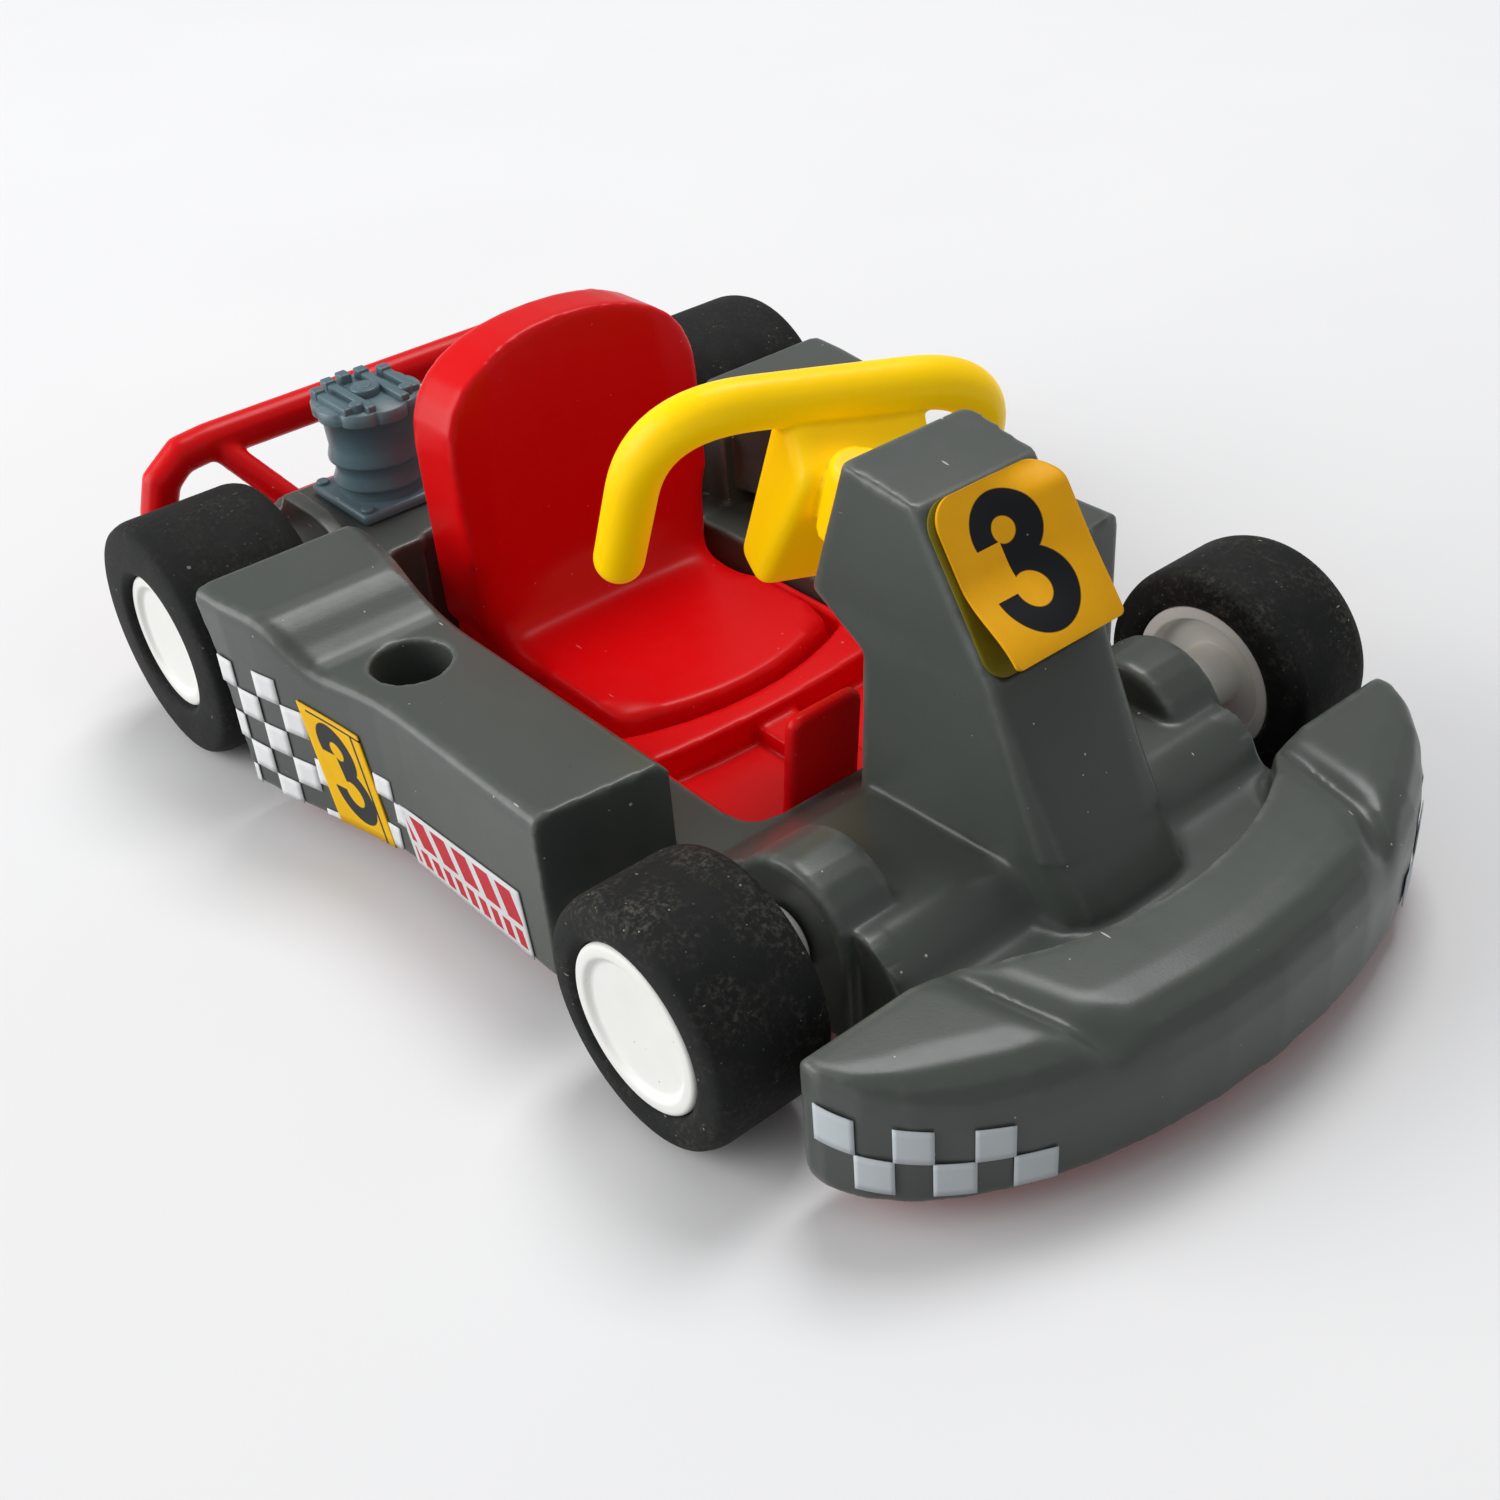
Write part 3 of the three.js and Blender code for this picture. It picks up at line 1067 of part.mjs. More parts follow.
kart.add(wheelset('front', FRONT_AXLE, FRONT_TYRE_R, FRONT_TYRE_W, FRONT_TRACK, FRONT_RIM_R, FRONT_RIM_SET, BOSS_OUT));
kart.add(wheelset('rear', REAR_AXLE, REAR_TYRE_R, REAR_TYRE_W, REAR_TRACK, REAR_RIM_R, REAR_RIM_SET, DECK_HALF));

bothSides((side) => {
  const hand = side > 0 ? 'left' : 'right';
  kart.add(piece(`side_sticker_${hand}`, sideFilm(side), FILM));
  kart.add(piece(`bumper_sticker_${hand}`, bumperFilm(side), FILM));
});

export default kart;
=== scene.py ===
"""Looks of the toy go-kart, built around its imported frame. Sizes are in millimetres from mid wheelbase."""

import logging
import math
from dataclasses import dataclass
from enum import Enum
from typing import Callable, Iterable, Optional, Sequence, Union

import bmesh
import bpy
import numpy as np
from mathutils import Matrix, Vector
from mathutils.kdtree import KDTree


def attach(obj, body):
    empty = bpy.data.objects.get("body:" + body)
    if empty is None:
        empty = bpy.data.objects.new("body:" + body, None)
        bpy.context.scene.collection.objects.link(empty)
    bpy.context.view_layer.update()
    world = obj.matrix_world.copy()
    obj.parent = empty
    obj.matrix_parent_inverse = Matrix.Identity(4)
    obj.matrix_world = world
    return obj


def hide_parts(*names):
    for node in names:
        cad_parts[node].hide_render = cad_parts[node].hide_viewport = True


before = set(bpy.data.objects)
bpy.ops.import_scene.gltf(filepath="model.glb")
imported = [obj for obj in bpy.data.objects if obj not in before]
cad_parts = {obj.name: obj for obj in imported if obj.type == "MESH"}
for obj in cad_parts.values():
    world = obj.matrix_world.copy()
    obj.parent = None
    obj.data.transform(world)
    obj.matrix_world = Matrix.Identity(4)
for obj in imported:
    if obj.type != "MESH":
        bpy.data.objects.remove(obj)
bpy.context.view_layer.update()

MM = 0.001
ORIGIN_X = 6.075
Colour = tuple[float, float, float]
LOG = logging.getLogger("kart")


def at(x: float, y: float, z: float) -> Vector:
    """A point in millimetres from mid wheelbase, as metres in the part's frame."""
    return Vector(((x - ORIGIN_X) * MM, y * MM, z * MM))


def ease(t: float) -> float:
    """A smooth step from 0 to 1."""
    t = min(max(t, 0.0), 1.0)
    return t * t * (3.0 - 2.0 * t)


class Wire:
    """One node output that takes part in Python expressions; each operation adds a Math node."""

    def __init__(self, graph: "Graph", socket: bpy.types.NodeSocket) -> None:
        """Keeps the socket and the graph that it belongs to."""
        self.graph = graph
        self.socket = socket

    def out(self, name: str) -> "Wire":
        """Another output of the same node."""
        return Wire(self.graph, self.socket.node.outputs[name])

    def maths(self, operation: str, other: "Value" = 0.0, swap: bool = False, clamp: bool = False) -> "Wire":
        """Adds one Math node.

        Args:
            operation: The node's operation.
            other: The second value.
            swap: Puts the other value first.
            clamp: Keeps the result between 0 and 1.

        Returns:
            The node's result.
        """
        first, second = (other, self) if swap else (self, other)
        settings = {"operation": operation, "use_clamp": clamp}
        return self.graph.node("ShaderNodeMath", settings, {0: first, 1: second})

    def __add__(self, other: "Value") -> "Wire":
        """Sum."""
        return self.maths("ADD", other)

    def __radd__(self, other: "Value") -> "Wire":
        """Sum with a number first."""
        return self.maths("ADD", other, True)

    def __sub__(self, other: "Value") -> "Wire":
        """Difference."""
        return self.maths("SUBTRACT", other)

    def __rsub__(self, other: "Value") -> "Wire":
        """Difference with a number first."""
        return self.maths("SUBTRACT", other, True)

    def __mul__(self, other: "Value") -> "Wire":
        """Product."""
        return self.maths("MULTIPLY", other)

    def __rmul__(self, other: "Value") -> "Wire":
        """Product with a number first."""
        return self.maths("MULTIPLY", other, True)

    def __truediv__(self, other: "Value") -> "Wire":
        """Quotient."""
        return self.maths("DIVIDE", other)

    def __lt__(self, other: "Value") -> "Wire":
        """1 where this value is the smaller one."""
        return self.maths("LESS_THAN", other)

    def __gt__(self, other: "Value") -> "Wire":
        """1 where this value is the larger one."""
        return self.maths("GREATER_THAN", other)

    def __abs__(self) -> "Wire":
        """Size without sign."""
        return self.maths("ABSOLUTE")

    def root(self) -> "Wire":
        """Square root."""
        return self.maths("SQRT")

    def clamp(self) -> "Wire":
        """The value kept between 0 and 1."""
        return self.maths("ADD", 0.0, clamp=True)

    def either(self, other: "Value") -> "Wire":
        """The larger of two values."""
        return self.maths("MAXIMUM", other)

    def repeat(self, period: float) -> "Wire":
        """The remainder after whole periods."""
        return self.maths("FLOORED_MODULO", period)


Value = Union[Wire, float, tuple, Vector]


class Graph:
    """A material's node tree, filled through one method for any node."""

    def __init__(self, name: str) -> None:
        """Makes an empty material of that name."""
        self.material = bpy.data.materials.new(name)
        self.material.use_nodes = True
        self.tree = self.material.node_tree
        self.tree.nodes.clear()
        self.output = self.tree.nodes.new("ShaderNodeOutputMaterial")

    def node(
        self,
        kind: str,
        settings: Optional[dict] = None,
        values: Optional[dict] = None,
        out: Union[int, str] = 0,
    ) -> Wire:
        """Adds a node of any type.

        Args:
            kind: The node's type.
            settings: Its own settings, set first; stops are a ramp's (place, colour) pairs.
            values: Numbers, colours or wires for its inputs, by name or number.
            out: The output that is handed back.

        Returns:
            That output.
        """
        made = self.tree.nodes.new(kind)
        for key, value in (settings or {}).items():
            if key == "stops":
                self._stops(made.color_ramp.elements, value)
            else:
                setattr(made, key, value)
        for key, value in (values or {}).items():
            if isinstance(value, Wire):
                self.tree.links.new(value.socket, made.inputs[key])
            else:
                made.inputs[key].default_value = self._fitted(made.inputs[key], value)
        return Wire(self, made.outputs[out])

    @staticmethod
    def _fitted(socket: bpy.types.NodeSocket, value: Value) -> Value:
        """A colour with its alpha where the socket needs one."""
        if socket.type == "RGBA" and len(value) == 3:
            return (*value, 1.0)
        return value

    @staticmethod
    def _stops(elements: bpy.types.ColorRampElements, stops: Sequence[tuple[float, Colour]]) -> None:
        """Sets a ramp's stops."""
        while len(elements) < len(stops):
            elements.new(0.5)
        for element, (place, colour) in zip(elements, stops):
            element.position = place
            element.color = (*colour, 1.0)

    def place(self) -> Wire:
        """Object coordinates, in metres in the part's frame."""
        return self.node("ShaderNodeTexCoord", out="Object")

    def mapped(self, vector: Wire, scale: Sequence[float], turn: Sequence[float] = (0.0, 0.0, 0.0)) -> Wire:
        """Coordinates stretched and turned."""
        values = {"Vector": vector, "Scale": tuple(scale), "Rotation": tuple(turn)}
        return self.node("ShaderNodeMapping", {}, values)

    def noise(self, vector: Wire, cell: float, detail: float = 2.0, rough: float = 0.5) -> Wire:
        """Soft noise with features of about one cell, in millimetres."""
        values = {"Vector": vector, "Scale": 1.0 / (cell * MM), "Detail": detail, "Roughness": rough}
        return self.node("ShaderNodeTexNoise", {}, values)

    def specks(self, vector: Wire, cell: float, size: float, share: float) -> Wire:
        """Scattered round flecks.

        Args:
            vector: Coordinates to scatter them on.
            cell: Mean distance between places, in millimetres.
            size: Largest radius as a share of the cell.
            share: Share of the places that hold a fleck.

        Returns:
            A mask that is 1 on the flecks.
        """
        crispness = 6.0
        values = {"Vector": vector, "Scale": 1.0 / (cell * MM)}
        cells = self.node("ShaderNodeTexVoronoi", {"feature": "F1", "voronoi_dimensions": "3D"}, values)
        split = self.node("ShaderNodeSeparateColor", {}, {0: cells.out("Color")}, out="Red")
        reach = split.out("Green") * size
        inside = ((reach - cells.out("Distance")) * (crispness / size)).clamp()
        return inside * (split < share)

    def lint(self, vector: Wire, share: float) -> Wire:
        """Short thin fibres that lie every way; share is the part of the places that hold one."""
        turns = ((0.2, 0.5, 0.4), (1.1, 0.3, 1.5), (0.6, 1.3, 2.5))
        thread = (1.0, 6.5, 6.5)
        cell = 7.0
        size = 0.10
        layers = [self.specks(self.mapped(vector, thread, turn), cell, size, share) for turn in turns]
        return layers[0].either(layers[1]).either(layers[2])

    def blend(self, factor: Value, first: Value, second: Value, mode: str = "MIX") -> Wire:
        """Mixes two colours."""
        settings = {"data_type": "RGBA", "blend_type": mode}
        return self.node("ShaderNodeMix", settings, {0: factor, 6: first, 7: second}, out=2)

    def bump(self, height: Wire, depth: float, strength: float, below: Optional[Wire] = None) -> Wire:
        """A normal that follows a height; depth is in millimetres."""
        values = {"Height": height, "Distance": depth * MM, "Strength": strength}
        if below is not None:
            values["Normal"] = below
        return self.node("ShaderNodeBump", {}, values, out="Normal")

    def finish(self, values: dict) -> bpy.types.Material:
        """Closes the graph with one Principled shader."""
        shader = self.node("ShaderNodeBsdfPrincipled", {}, values)
        self.tree.links.new(shader.socket, self.output.inputs["Surface"])
        return self.material


@dataclass(frozen=True)
class MouldedPlastic:
    """Coloured toy plastic with a spark-eroded grain, pale edges that are partly wear and partly painted
    highlight, painted shade in its hollows, a painted glow and a little dust.
    """

    name: str
    colour: Colour
    shade: Colour
    # Pale edge colour and its strength: partly wear and partly a painted highlight on the rounded edges.
    worn_and_highlit: Colour
    roughness: float
    wear_and_highlight: float
    dust: float
    grain: float
    specular: float
    # Strength of a painted glow that lifts the shaded sides.
    painted_glow: float = 0.0
    # Share and darkness of the painted shade in the hollows.
    painted_hollow_shade: float = 0.45
    painted_hollow_shade_factor: float = 0.45
    dust_colour: Colour = (0.55, 0.53, 0.47)

    def material(self) -> bpy.types.Material:
        """Builds the material; the glow is painted light, an even emission in the plastic's own colour that
        lifts its shaded sides and stands for light that has passed through bright plastic.
        """
        graph = Graph(self.name)
        place = graph.place()
        edge = graph.node("ShaderNodeAttribute", {"attribute_name": "edge"}, out="Fac")
        hollow = graph.node("ShaderNodeAttribute", {"attribute_name": "hollow"}, out="Fac")
        cloud = graph.noise(place, cell=14.0, detail=4.0, rough=0.6)
        mottle = graph.noise(place, cell=1.6, detail=3.0, rough=0.6)
        base = graph.blend((cloud * 0.7 + mottle * 0.3).clamp(), self.shade, self.colour)
        patchy = (graph.noise(place, cell=2.2, detail=3.0, rough=0.65) * 1.9 - 0.45).clamp()
        # The pale edges are partly wear and partly a painted highlight along the rounded edges.
        rubbed_and_highlit = (edge * patchy * self.wear_and_highlight).clamp()
        base = graph.blend(rubbed_and_highlit, base, self.worn_and_highlit)
        # Painted shade: the hollows are darkened towards a dark copy of the shade colour.
        painted_hollow_shade = (hollow * self.painted_hollow_shade).clamp()
        base = graph.blend(painted_hollow_shade, base, tuple(self.painted_hollow_shade_factor * part for part in self.shade))
        flecks = graph.specks(place, cell=2.0, size=0.085, share=0.36)
        dirt = (flecks.either(graph.lint(place, share=0.11)) * self.dust).clamp()
        base = graph.blend(dirt, base, self.dust_colour)
        haze = graph.noise(place, cell=5.0, detail=4.0, rough=0.7)
        rough = (self.roughness - 0.07 + haze * 0.16 + dirt * 0.3 + rubbed_and_highlit * 0.06).clamp()
        fine = graph.noise(place, cell=0.22, detail=2.0, rough=0.6)
        wave = graph.noise(place, cell=3.4, detail=2.0, rough=0.5)
        normal = graph.bump(fine, depth=0.02, strength=self.grain)
        normal = graph.bump(wave, depth=0.06, strength=0.10, below=normal)
        normal = graph.bump(dirt, depth=0.08, strength=0.5, below=normal)
        return graph.finish(
            {
                "Base Color": base,
                "Roughness": rough,
                "Normal": normal,
                "Specular IOR Level": self.specular,
                # Painted glow: the plastic emits its own colour though it is no lamp.
                "Emission Color": self.colour,
                "Emission Strength": self.painted_glow,
            }
        )


@dataclass(frozen=True)
class DustyRubber:
    """Black rubber that has picked up dust, grit and chaff."""

    name: str
    dust: float
    rubber: tuple[Colour, Colour] = ((0.006, 0.007, 0.007), (0.013, 0.014, 0.013))
    powder_colour: Colour = (0.17, 0.155, 0.125)
    loose_colour: Colour = (0.50, 0.46, 0.38)
    specular: float = 0.18

    def material(self) -> bpy.types.Material:
        """Builds the material."""
        graph = Graph(self.name)
        place = graph.place()
        cloud = graph.noise(place, cell=5.0, detail=4.0, rough=0.65)
        drift = ((cloud - 0.42) * 3.2).clamp()
        film = graph.noise(place, cell=0.5, detail=4.0, rough=0.7)
        base = graph.blend(graph.noise(place, cell=3.0, detail=3.0), *self.rubber)
        powder = (drift * ((film - 0.47) * 5.0).clamp() * (0.55 * self.dust)).clamp()
        base = graph.blend(powder, base, self.powder_colour)
        grit = graph.specks(place, cell=0.55, size=0.22, share=0.26) * (drift * 0.85 + 0.10)
        crumbs = graph.specks(place, cell=2.2, size=0.10, share=0.20)
        lengthways = graph.mapped(place, (1.0, 3.6, 3.6), (0.3, 0.8, 0.5))
        crossways = graph.mapped(place, (3.6, 1.0, 3.6), (0.9, 0.2, 0.7))
        along, athwart = (
            graph.specks(way, cell=3.4, size=0.11, share=0.26) for way in (lengthways, crossways)
        )
        chaff = along.either(athwart)
        loose = ((grit + chaff * (drift * 0.7 + 0.3)).either(crumbs) * self.dust).clamp()
        base = graph.blend(loose, base, self.loose_colour)
        fine = graph.noise(place, cell=0.16, detail=3.0, rough=0.65)
        normal = graph.bump(fine, depth=0.03, strength=0.35)
        normal = graph.bump(loose, depth=0.10, strength=0.5, below=normal)
        rough = (0.66 + powder * 0.3 + graph.noise(place, cell=1.2) * 0.12).clamp()
        return graph.finish(
            {"Base Color": base, "Roughness": rough, "Normal": normal, "Specular IOR Level": self.specular}
        )


@dataclass(frozen=True)
class WheelPlastic:
    """White rim plastic, a little yellowed, with dark flecks."""

    name: str
    white: tuple[Colour, Colour] = ((0.86, 0.85, 0.80), (0.93, 0.93, 0.91))
    fleck_colour: Colour = (0.16, 0.14, 0.11)

    def material(self) -> bpy.types.Material:
        """Builds the material."""
        graph = Graph(self.name)
        place = graph.place()
        base = graph.blend(graph.noise(place, cell=4.0, detail=3.0), *self.white)
        specks = graph.specks(place, cell=1.3, size=0.07, share=0.22)
        base = graph.blend(specks * 0.75, base, self.fleck_colour)
        normal = graph.bump(graph.noise(place, cell=0.5, detail=2.0), depth=0.02, strength=0.2)
        rough = 0.40 + graph.noise(place, cell=2.0) * 0.12
        return graph.finish({"Base Color": base, "Roughness": rough, "Normal": normal})


@dataclass(frozen=True)
class TurnedSteel:
    """Plain steel rod with fine turning marks along the kart's width."""

    name: str
    steel: tuple[Colour, Colour] = ((0.42, 0.42, 0.42), (0.60, 0.61, 0.62))

    def material(self) -> bpy.types.Material:
        """Builds the material."""
        graph = Graph(self.name)
        place = graph.place()
        rings = graph.noise(graph.mapped(place, (0.05, 1.0, 0.05)), cell=0.12, detail=2.0)
        stain = graph.noise(place, cell=2.0, detail=3.0)
        base = graph.blend(stain, *self.steel)
        rough = (0.22 + stain * 0.2 + rings * 0.1).clamp()
        normal = graph.bump(rings, depth=0.01, strength=0.3)
        return graph.finish({"Base Color": base, "Roughness": rough, "Normal": normal, "Metallic": 1.0})


class Print(Enum):
    """What is printed on a film."""

    CHECKS = "checks"
    SIDE_CHECKS = "side_checks"
    PLATE = "plate"
    SIDE_NUMBER = "side_number"
    BARS = "bars"
    # A dark olive sheet of painted shade, for the shade under the lifted number film.
    PAINTED_SHADE_SHEET = "painted_shade_sheet"


@dataclass(frozen=True)
class Mottle:
    """Two tones of a plain print and the noise that mixes them."""

    cell: float
    detail: float
    dark: Colour
    pale: Colour


MOTTLED = {
    Print.CHECKS: Mottle(1.5, 3.0, dark=(0.60, 0.66, 0.69), pale=(0.72, 0.77, 0.79)),
    Print.SIDE_CHECKS: Mottle(1.5, 3.0, dark=(0.84, 0.85, 0.86), pale=(0.90, 0.91, 0.92)),
    # The dark olive tones of the sheet under the number film are painted shade.
    Print.PAINTED_SHADE_SHEET: Mottle(2.0, 2.0, dark=(0.16, 0.13, 0.004), pale=(0.26, 0.21, 0.006)),
}


@dataclass(frozen=True)
class PrintedFilm:
    """Satin printed film; patterns are drawn on the film's own map in millimetres."""

    name: str
    print: Print
    width: float = 1.0
    height: float = 1.0
    ink: Colour = (0.006, 0.007, 0.009)
    amber: Colour = (0.97, 0.46, 0.002)
    side_ink: Colour = (0.035, 0.036, 0.036)
    side_amber: Colour = (1.0, 0.56, 0.004)
    white: Colour = (0.74, 0.75, 0.76)
    red: Colour = (0.56, 0.030, 0.045)
    grime_colour: Colour = (0.40, 0.38, 0.34)
    dust_colour: Colour = (0.30, 0.28, 0.24)
    specular: float = 0.22

    def digit(self, x: Wire, y: Wire) -> Wire:
        """A plain three of height 1 about its own middle.

        Args:
            x: Place across, in digit heights.
            y: Place upwards, in digit heights.

        Returns:
            A mask that is 1 on the digit.
        """
        stroke = 0.178
        soft = 0.008
        gap = -0.03

        def bowl(middle: float, radius: float) -> Wire:
            """One bowl as a ring."""
            across = x - 0.03
            up = y - middle
            reach = (across * across + up * up).root() - radius
            return ((stroke / 2 - abs(reach)) / soft + 0.5).clamp()

        upper = bowl(middle=0.232, radius=0.268 - stroke / 2)
        lower = bowl(middle=-0.196, radius=0.304 - stroke / 2)
        upper_gap = ((x < gap) * (y < 0.172)).either((y < 0.055) * (x < 0.10))
        lower_gap = (x < gap) * (y > -0.18)
        return (upper * (1.0 - upper_gap)).either(lower * (1.0 - lower_gap))

    def drawing(self, graph: Graph, u: Wire, v: Wire) -> Wire:
        """The print's colours.

        Args:
            graph: The material's graph.
            u: Millimetres across the film.
            v: Millimetres up the film.

        Returns:
            The colour.
        """
        if self.print in MOTTLED:
            mottle = MOTTLED[self.print]
            mixed = graph.noise(graph.place(), mottle.cell, mottle.detail)
            return graph.blend(mixed, mottle.dark, mottle.pale)
        if self.print is Print.PLATE:
            tall = 11.8
            mask = self.digit((u - self.width / 2 + 0.55) / tall, (v - self.height / 2 - 0.1) / tall)
            return graph.blend(mask, self.amber, self.ink)
        if self.print is Print.SIDE_NUMBER:
            tall = 10.2
            slim = 0.78
            lean = 0.10
            up = v - self.height * 0.51
            mask = self.digit((u + up * lean - self.width * 0.45) / (tall * slim), up / tall)
            rule = (abs(u - self.width + 1.15) < 0.14) * (v < self.height - 0.5)
            cap = (abs(v - self.height + 0.55) < 0.12) * (u > self.width * 0.12)
            return graph.blend(mask.either(rule).either(cap), self.side_amber, self.side_ink)
        return self.bars(graph, u, v)

    def bars(self, graph: Graph, u: Wire, v: Wire) -> Wire:
        """Slanted red bars in two rows on white."""
        border = 0.55
        middle = self.height * 0.40
        slant = u + v * 0.35
        wide = slant.repeat(3.4) < 2.35
        slim = (u + v * 0.2).repeat(1.9) < 1.2
        upper = wide * (v > middle + 0.3) * (v < self.height - border)
        lower = slim * (v < middle - 0.3) * (v > border)
        inside = (u > border) * (u < self.width - border)
        return graph.blend((upper + lower).clamp() * inside, self.white, self.red)

    def material(self) -> bpy.types.Material:
        """Builds the material."""
        graph = Graph(self.name)
        sheet = graph.node("ShaderNodeUVMap", {"uv_map": "film"})
        parts = graph.node("ShaderNodeSeparateXYZ", {}, {0: sheet}, out="X")
        place = graph.place()
        base = self.drawing(graph, parts * self.width, parts.out("Y") * self.height)
        cloud = graph.noise(place, cell=3.0, detail=4.0, rough=0.65)
        base = graph.blend((cloud - 0.5) * 0.35 + 0.1, base, self.grime_colour, "MULTIPLY")
        dust = graph.specks(place, cell=1.7, size=0.07, share=0.18)
        base = graph.blend(dust * 0.6, base, self.dust_colour)
        normal = graph.bump(cloud, depth=0.05, strength=0.25)
        rough = (0.42 + cloud * 0.2).clamp()
        return graph.finish(
            {"Base Color": base, "Roughness": rough, "Normal": normal, "Specular IOR Level": self.specular}
        )


@dataclass(frozen=True)
class Paper:
    """Plain pale paper under the kart, with a faint tooth; it throws back less light than it shows."""

    name: str
    pale: tuple[Colour, Colour] = ((0.80, 0.80, 0.81), (0.84, 0.84, 0.845))
    bounce: Colour = (0.36, 0.36, 0.37)
    roughness: float = 0.75
    specular: float = 0.1

    def material(self) -> bpy.types.Material:
        """Builds the material."""
        graph = Graph(self.name)
        place = graph.place()
        base = graph.blend(graph.noise(place, cell=60.0, detail=3.0), *self.pale)
        tooth = graph.noise(place, cell=0.9, detail=3.0, rough=0.6)
        normal = graph.bump(tooth, depth=0.04, strength=0.15)
        ray = graph.node("ShaderNodeLightPath", out="Is Camera Ray")
        seen = ray.either(ray.out("Is Glossy Ray")).either(ray.out("Is Transmission Ray"))
        base = graph.blend(seen, self.bounce, base)
        return graph.finish(
            {
                "Base Color": base,
                "Roughness": self.roughness,
                "Normal": normal,
                "Specular IOR Level": self.specular,
            }
        )


GREY = MouldedPlastic(
    name="grey_moulding",
    colour=(0.074, 0.085, 0.076),
    shade=(0.062, 0.071, 0.065),
    worn_and_highlit=(0.24, 0.25, 0.23),
    roughness=0.30,
    wear_and_highlight=0.55,
    dust=0.9,
    grain=0.35,
    specular=0.36,
)
RED = MouldedPlastic(
    name="red_moulding",
    colour=(0.72, 0.001, 0.003),
    shade=(0.64, 0.001, 0.002),
    worn_and_highlit=(0.86, 0.05, 0.06),
    roughness=0.30,
    wear_and_highlight=0.25,
    dust=0.25,
    grain=0.12,
    specular=0.16,
    # A painted glow lifts the red's shaded sides.
    painted_glow=0.06,
)
YELLOW = MouldedPlastic(
    name="yellow_moulding",
    colour=(1.0, 0.65, 0.001),
    shade=(1.0, 0.58, 0.001),
    worn_and_highlit=(1.0, 0.74, 0.04),
    roughness=0.32,
    wear_and_highlight=0.2,
    dust=0.15,
    grain=0.10,
    specular=0.16,
    # A painted glow lifts the yellow's shaded sides.
    painted_glow=0.24,
)
BLUE_GREY = MouldedPlastic(
    name="blue_grey_moulding",
    colour=(0.092, 0.150, 0.172),
    shade=(0.070, 0.116, 0.138),
    worn_and_highlit=(0.24, 0.29, 0.31),
    roughness=0.34,
    wear_and_highlight=0.7,
    dust=0.35,
    grain=0.2,
    specular=0.36,
    # A painted glow lifts the blue-grey's shaded sides.
    painted_glow=0.10,
)
STEEL = TurnedSteel("turned_steel")
RIM_WHITE = WheelPlastic("rim_white")


def hand_of(side: int) -> str:
    """The name of a side: 1 is left and -1 is right."""
    return "left" if side > 0 else "right"


def add_block(bm: bmesh.types.BMesh, size: Sequence[float], middle: Vector) -> list[bmesh.types.BMVert]:
    """Adds a block of a size in millimetres about a point.

    Args:
        bm: The mesh that takes it.
        size: Its length, width and height.
        middle: Its middle, in metres.

    Returns:
        Its corners.
    """
    made = bmesh.ops.create_cube(bm, size=1.0)["verts"]
    bmesh.ops.scale(bm, verts=made, vec=[side * MM for side in size])
    bmesh.ops.translate(bm, verts=made, vec=middle)
    return made


def edges_at(corners: Iterable[bmesh.types.BMVert]) -> list[bmesh.types.BMEdge]:
    """The edges at some vertices, each once and always in the same order."""
    return list(dict.fromkeys(line for corner in corners for line in corner.link_edges))


def round_edges(
    bm: bmesh.types.BMesh, lines: Sequence[bmesh.types.BMEdge], radius: float, steps: int, clamp: bool = False
) -> None:
    """Rounds edges.

    Args:
        bm: The mesh.
        lines: Its edges to round.
        radius: The width taken off, in the mesh's own unit.
        steps: Faces across the rounding.
        clamp: Keeps roundings from running into each other.
    """
    bmesh.ops.bevel(
        bm,
        geom=lines,
        offset=radius,
        affect="EDGES",
        segments=steps,
        profile=0.5,
        material=-1,
        clamp_overlap=clamp,
    )


def spin_profile(
    bm: bmesh.types.BMesh, places: Sequence[Vector], centre: Vector, axis: Vector, steps: int, closed: bool
) -> None:
    """Turns a profile about an axis and merges its seam.

    Args:
        bm: The mesh that takes the surface.
        places: The profile's points.
        centre: A point on the axis.
        axis: The way that the axis points.
        steps: Faces round the axis.
        closed: Whether the profile is a closed ring.
    """
    points = [bm.verts.new(place) for place in places]
    ends = points[1:] + (points[:1] if closed else [])
    lines = [bm.edges.new(pair) for pair in zip(points, ends)]
    bmesh.ops.spin(
        bm,
        geom=points + lines,
        cent=centre,
        axis=axis,
        angle=math.tau,
        steps=steps,
        use_merge=True,
        use_duplicate=False,
    )
    bmesh.ops.remove_doubles(bm, verts=bm.verts, dist=0.002 * MM)


def as_object(name: str, bm: bmesh.types.BMesh) -> bpy.types.Object:
    """Turns a bmesh into a smooth-shaded object at the origin and frees it.

    Args:
        name: The piece's name.
        bm: The finished mesh.

    Returns:
        The new object.
    """
    mesh = bpy.data.meshes.new(name)
    bm.to_mesh(mesh)
    bm.free()
    mesh.polygons.foreach_set("use_smooth", [True] * len(mesh.polygons))
    made = bpy.data.objects.new(name, mesh)
    bpy.context.scene.collection.objects.link(made)
    return made


def settle(
    piece: bpy.types.Object, material: bpy.types.Material, body: str, node: str, stands_for: bool = True
) -> None:
    """Dresses a piece and hangs it on its body.

    Args:
        piece: The object.
        material: Its finish.
        body: The body that it rides on.
        node: The node whose slot it takes.
        stands_for: Whether it replaces that node.
    """
    piece.data.materials.clear()
    piece.data.materials.append(material)
    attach(piece, body)
    if stands_for:
        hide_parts(node)
    LOG.info("%s rides on %s, %d faces", piece.name, body, len(piece.data.polygons))


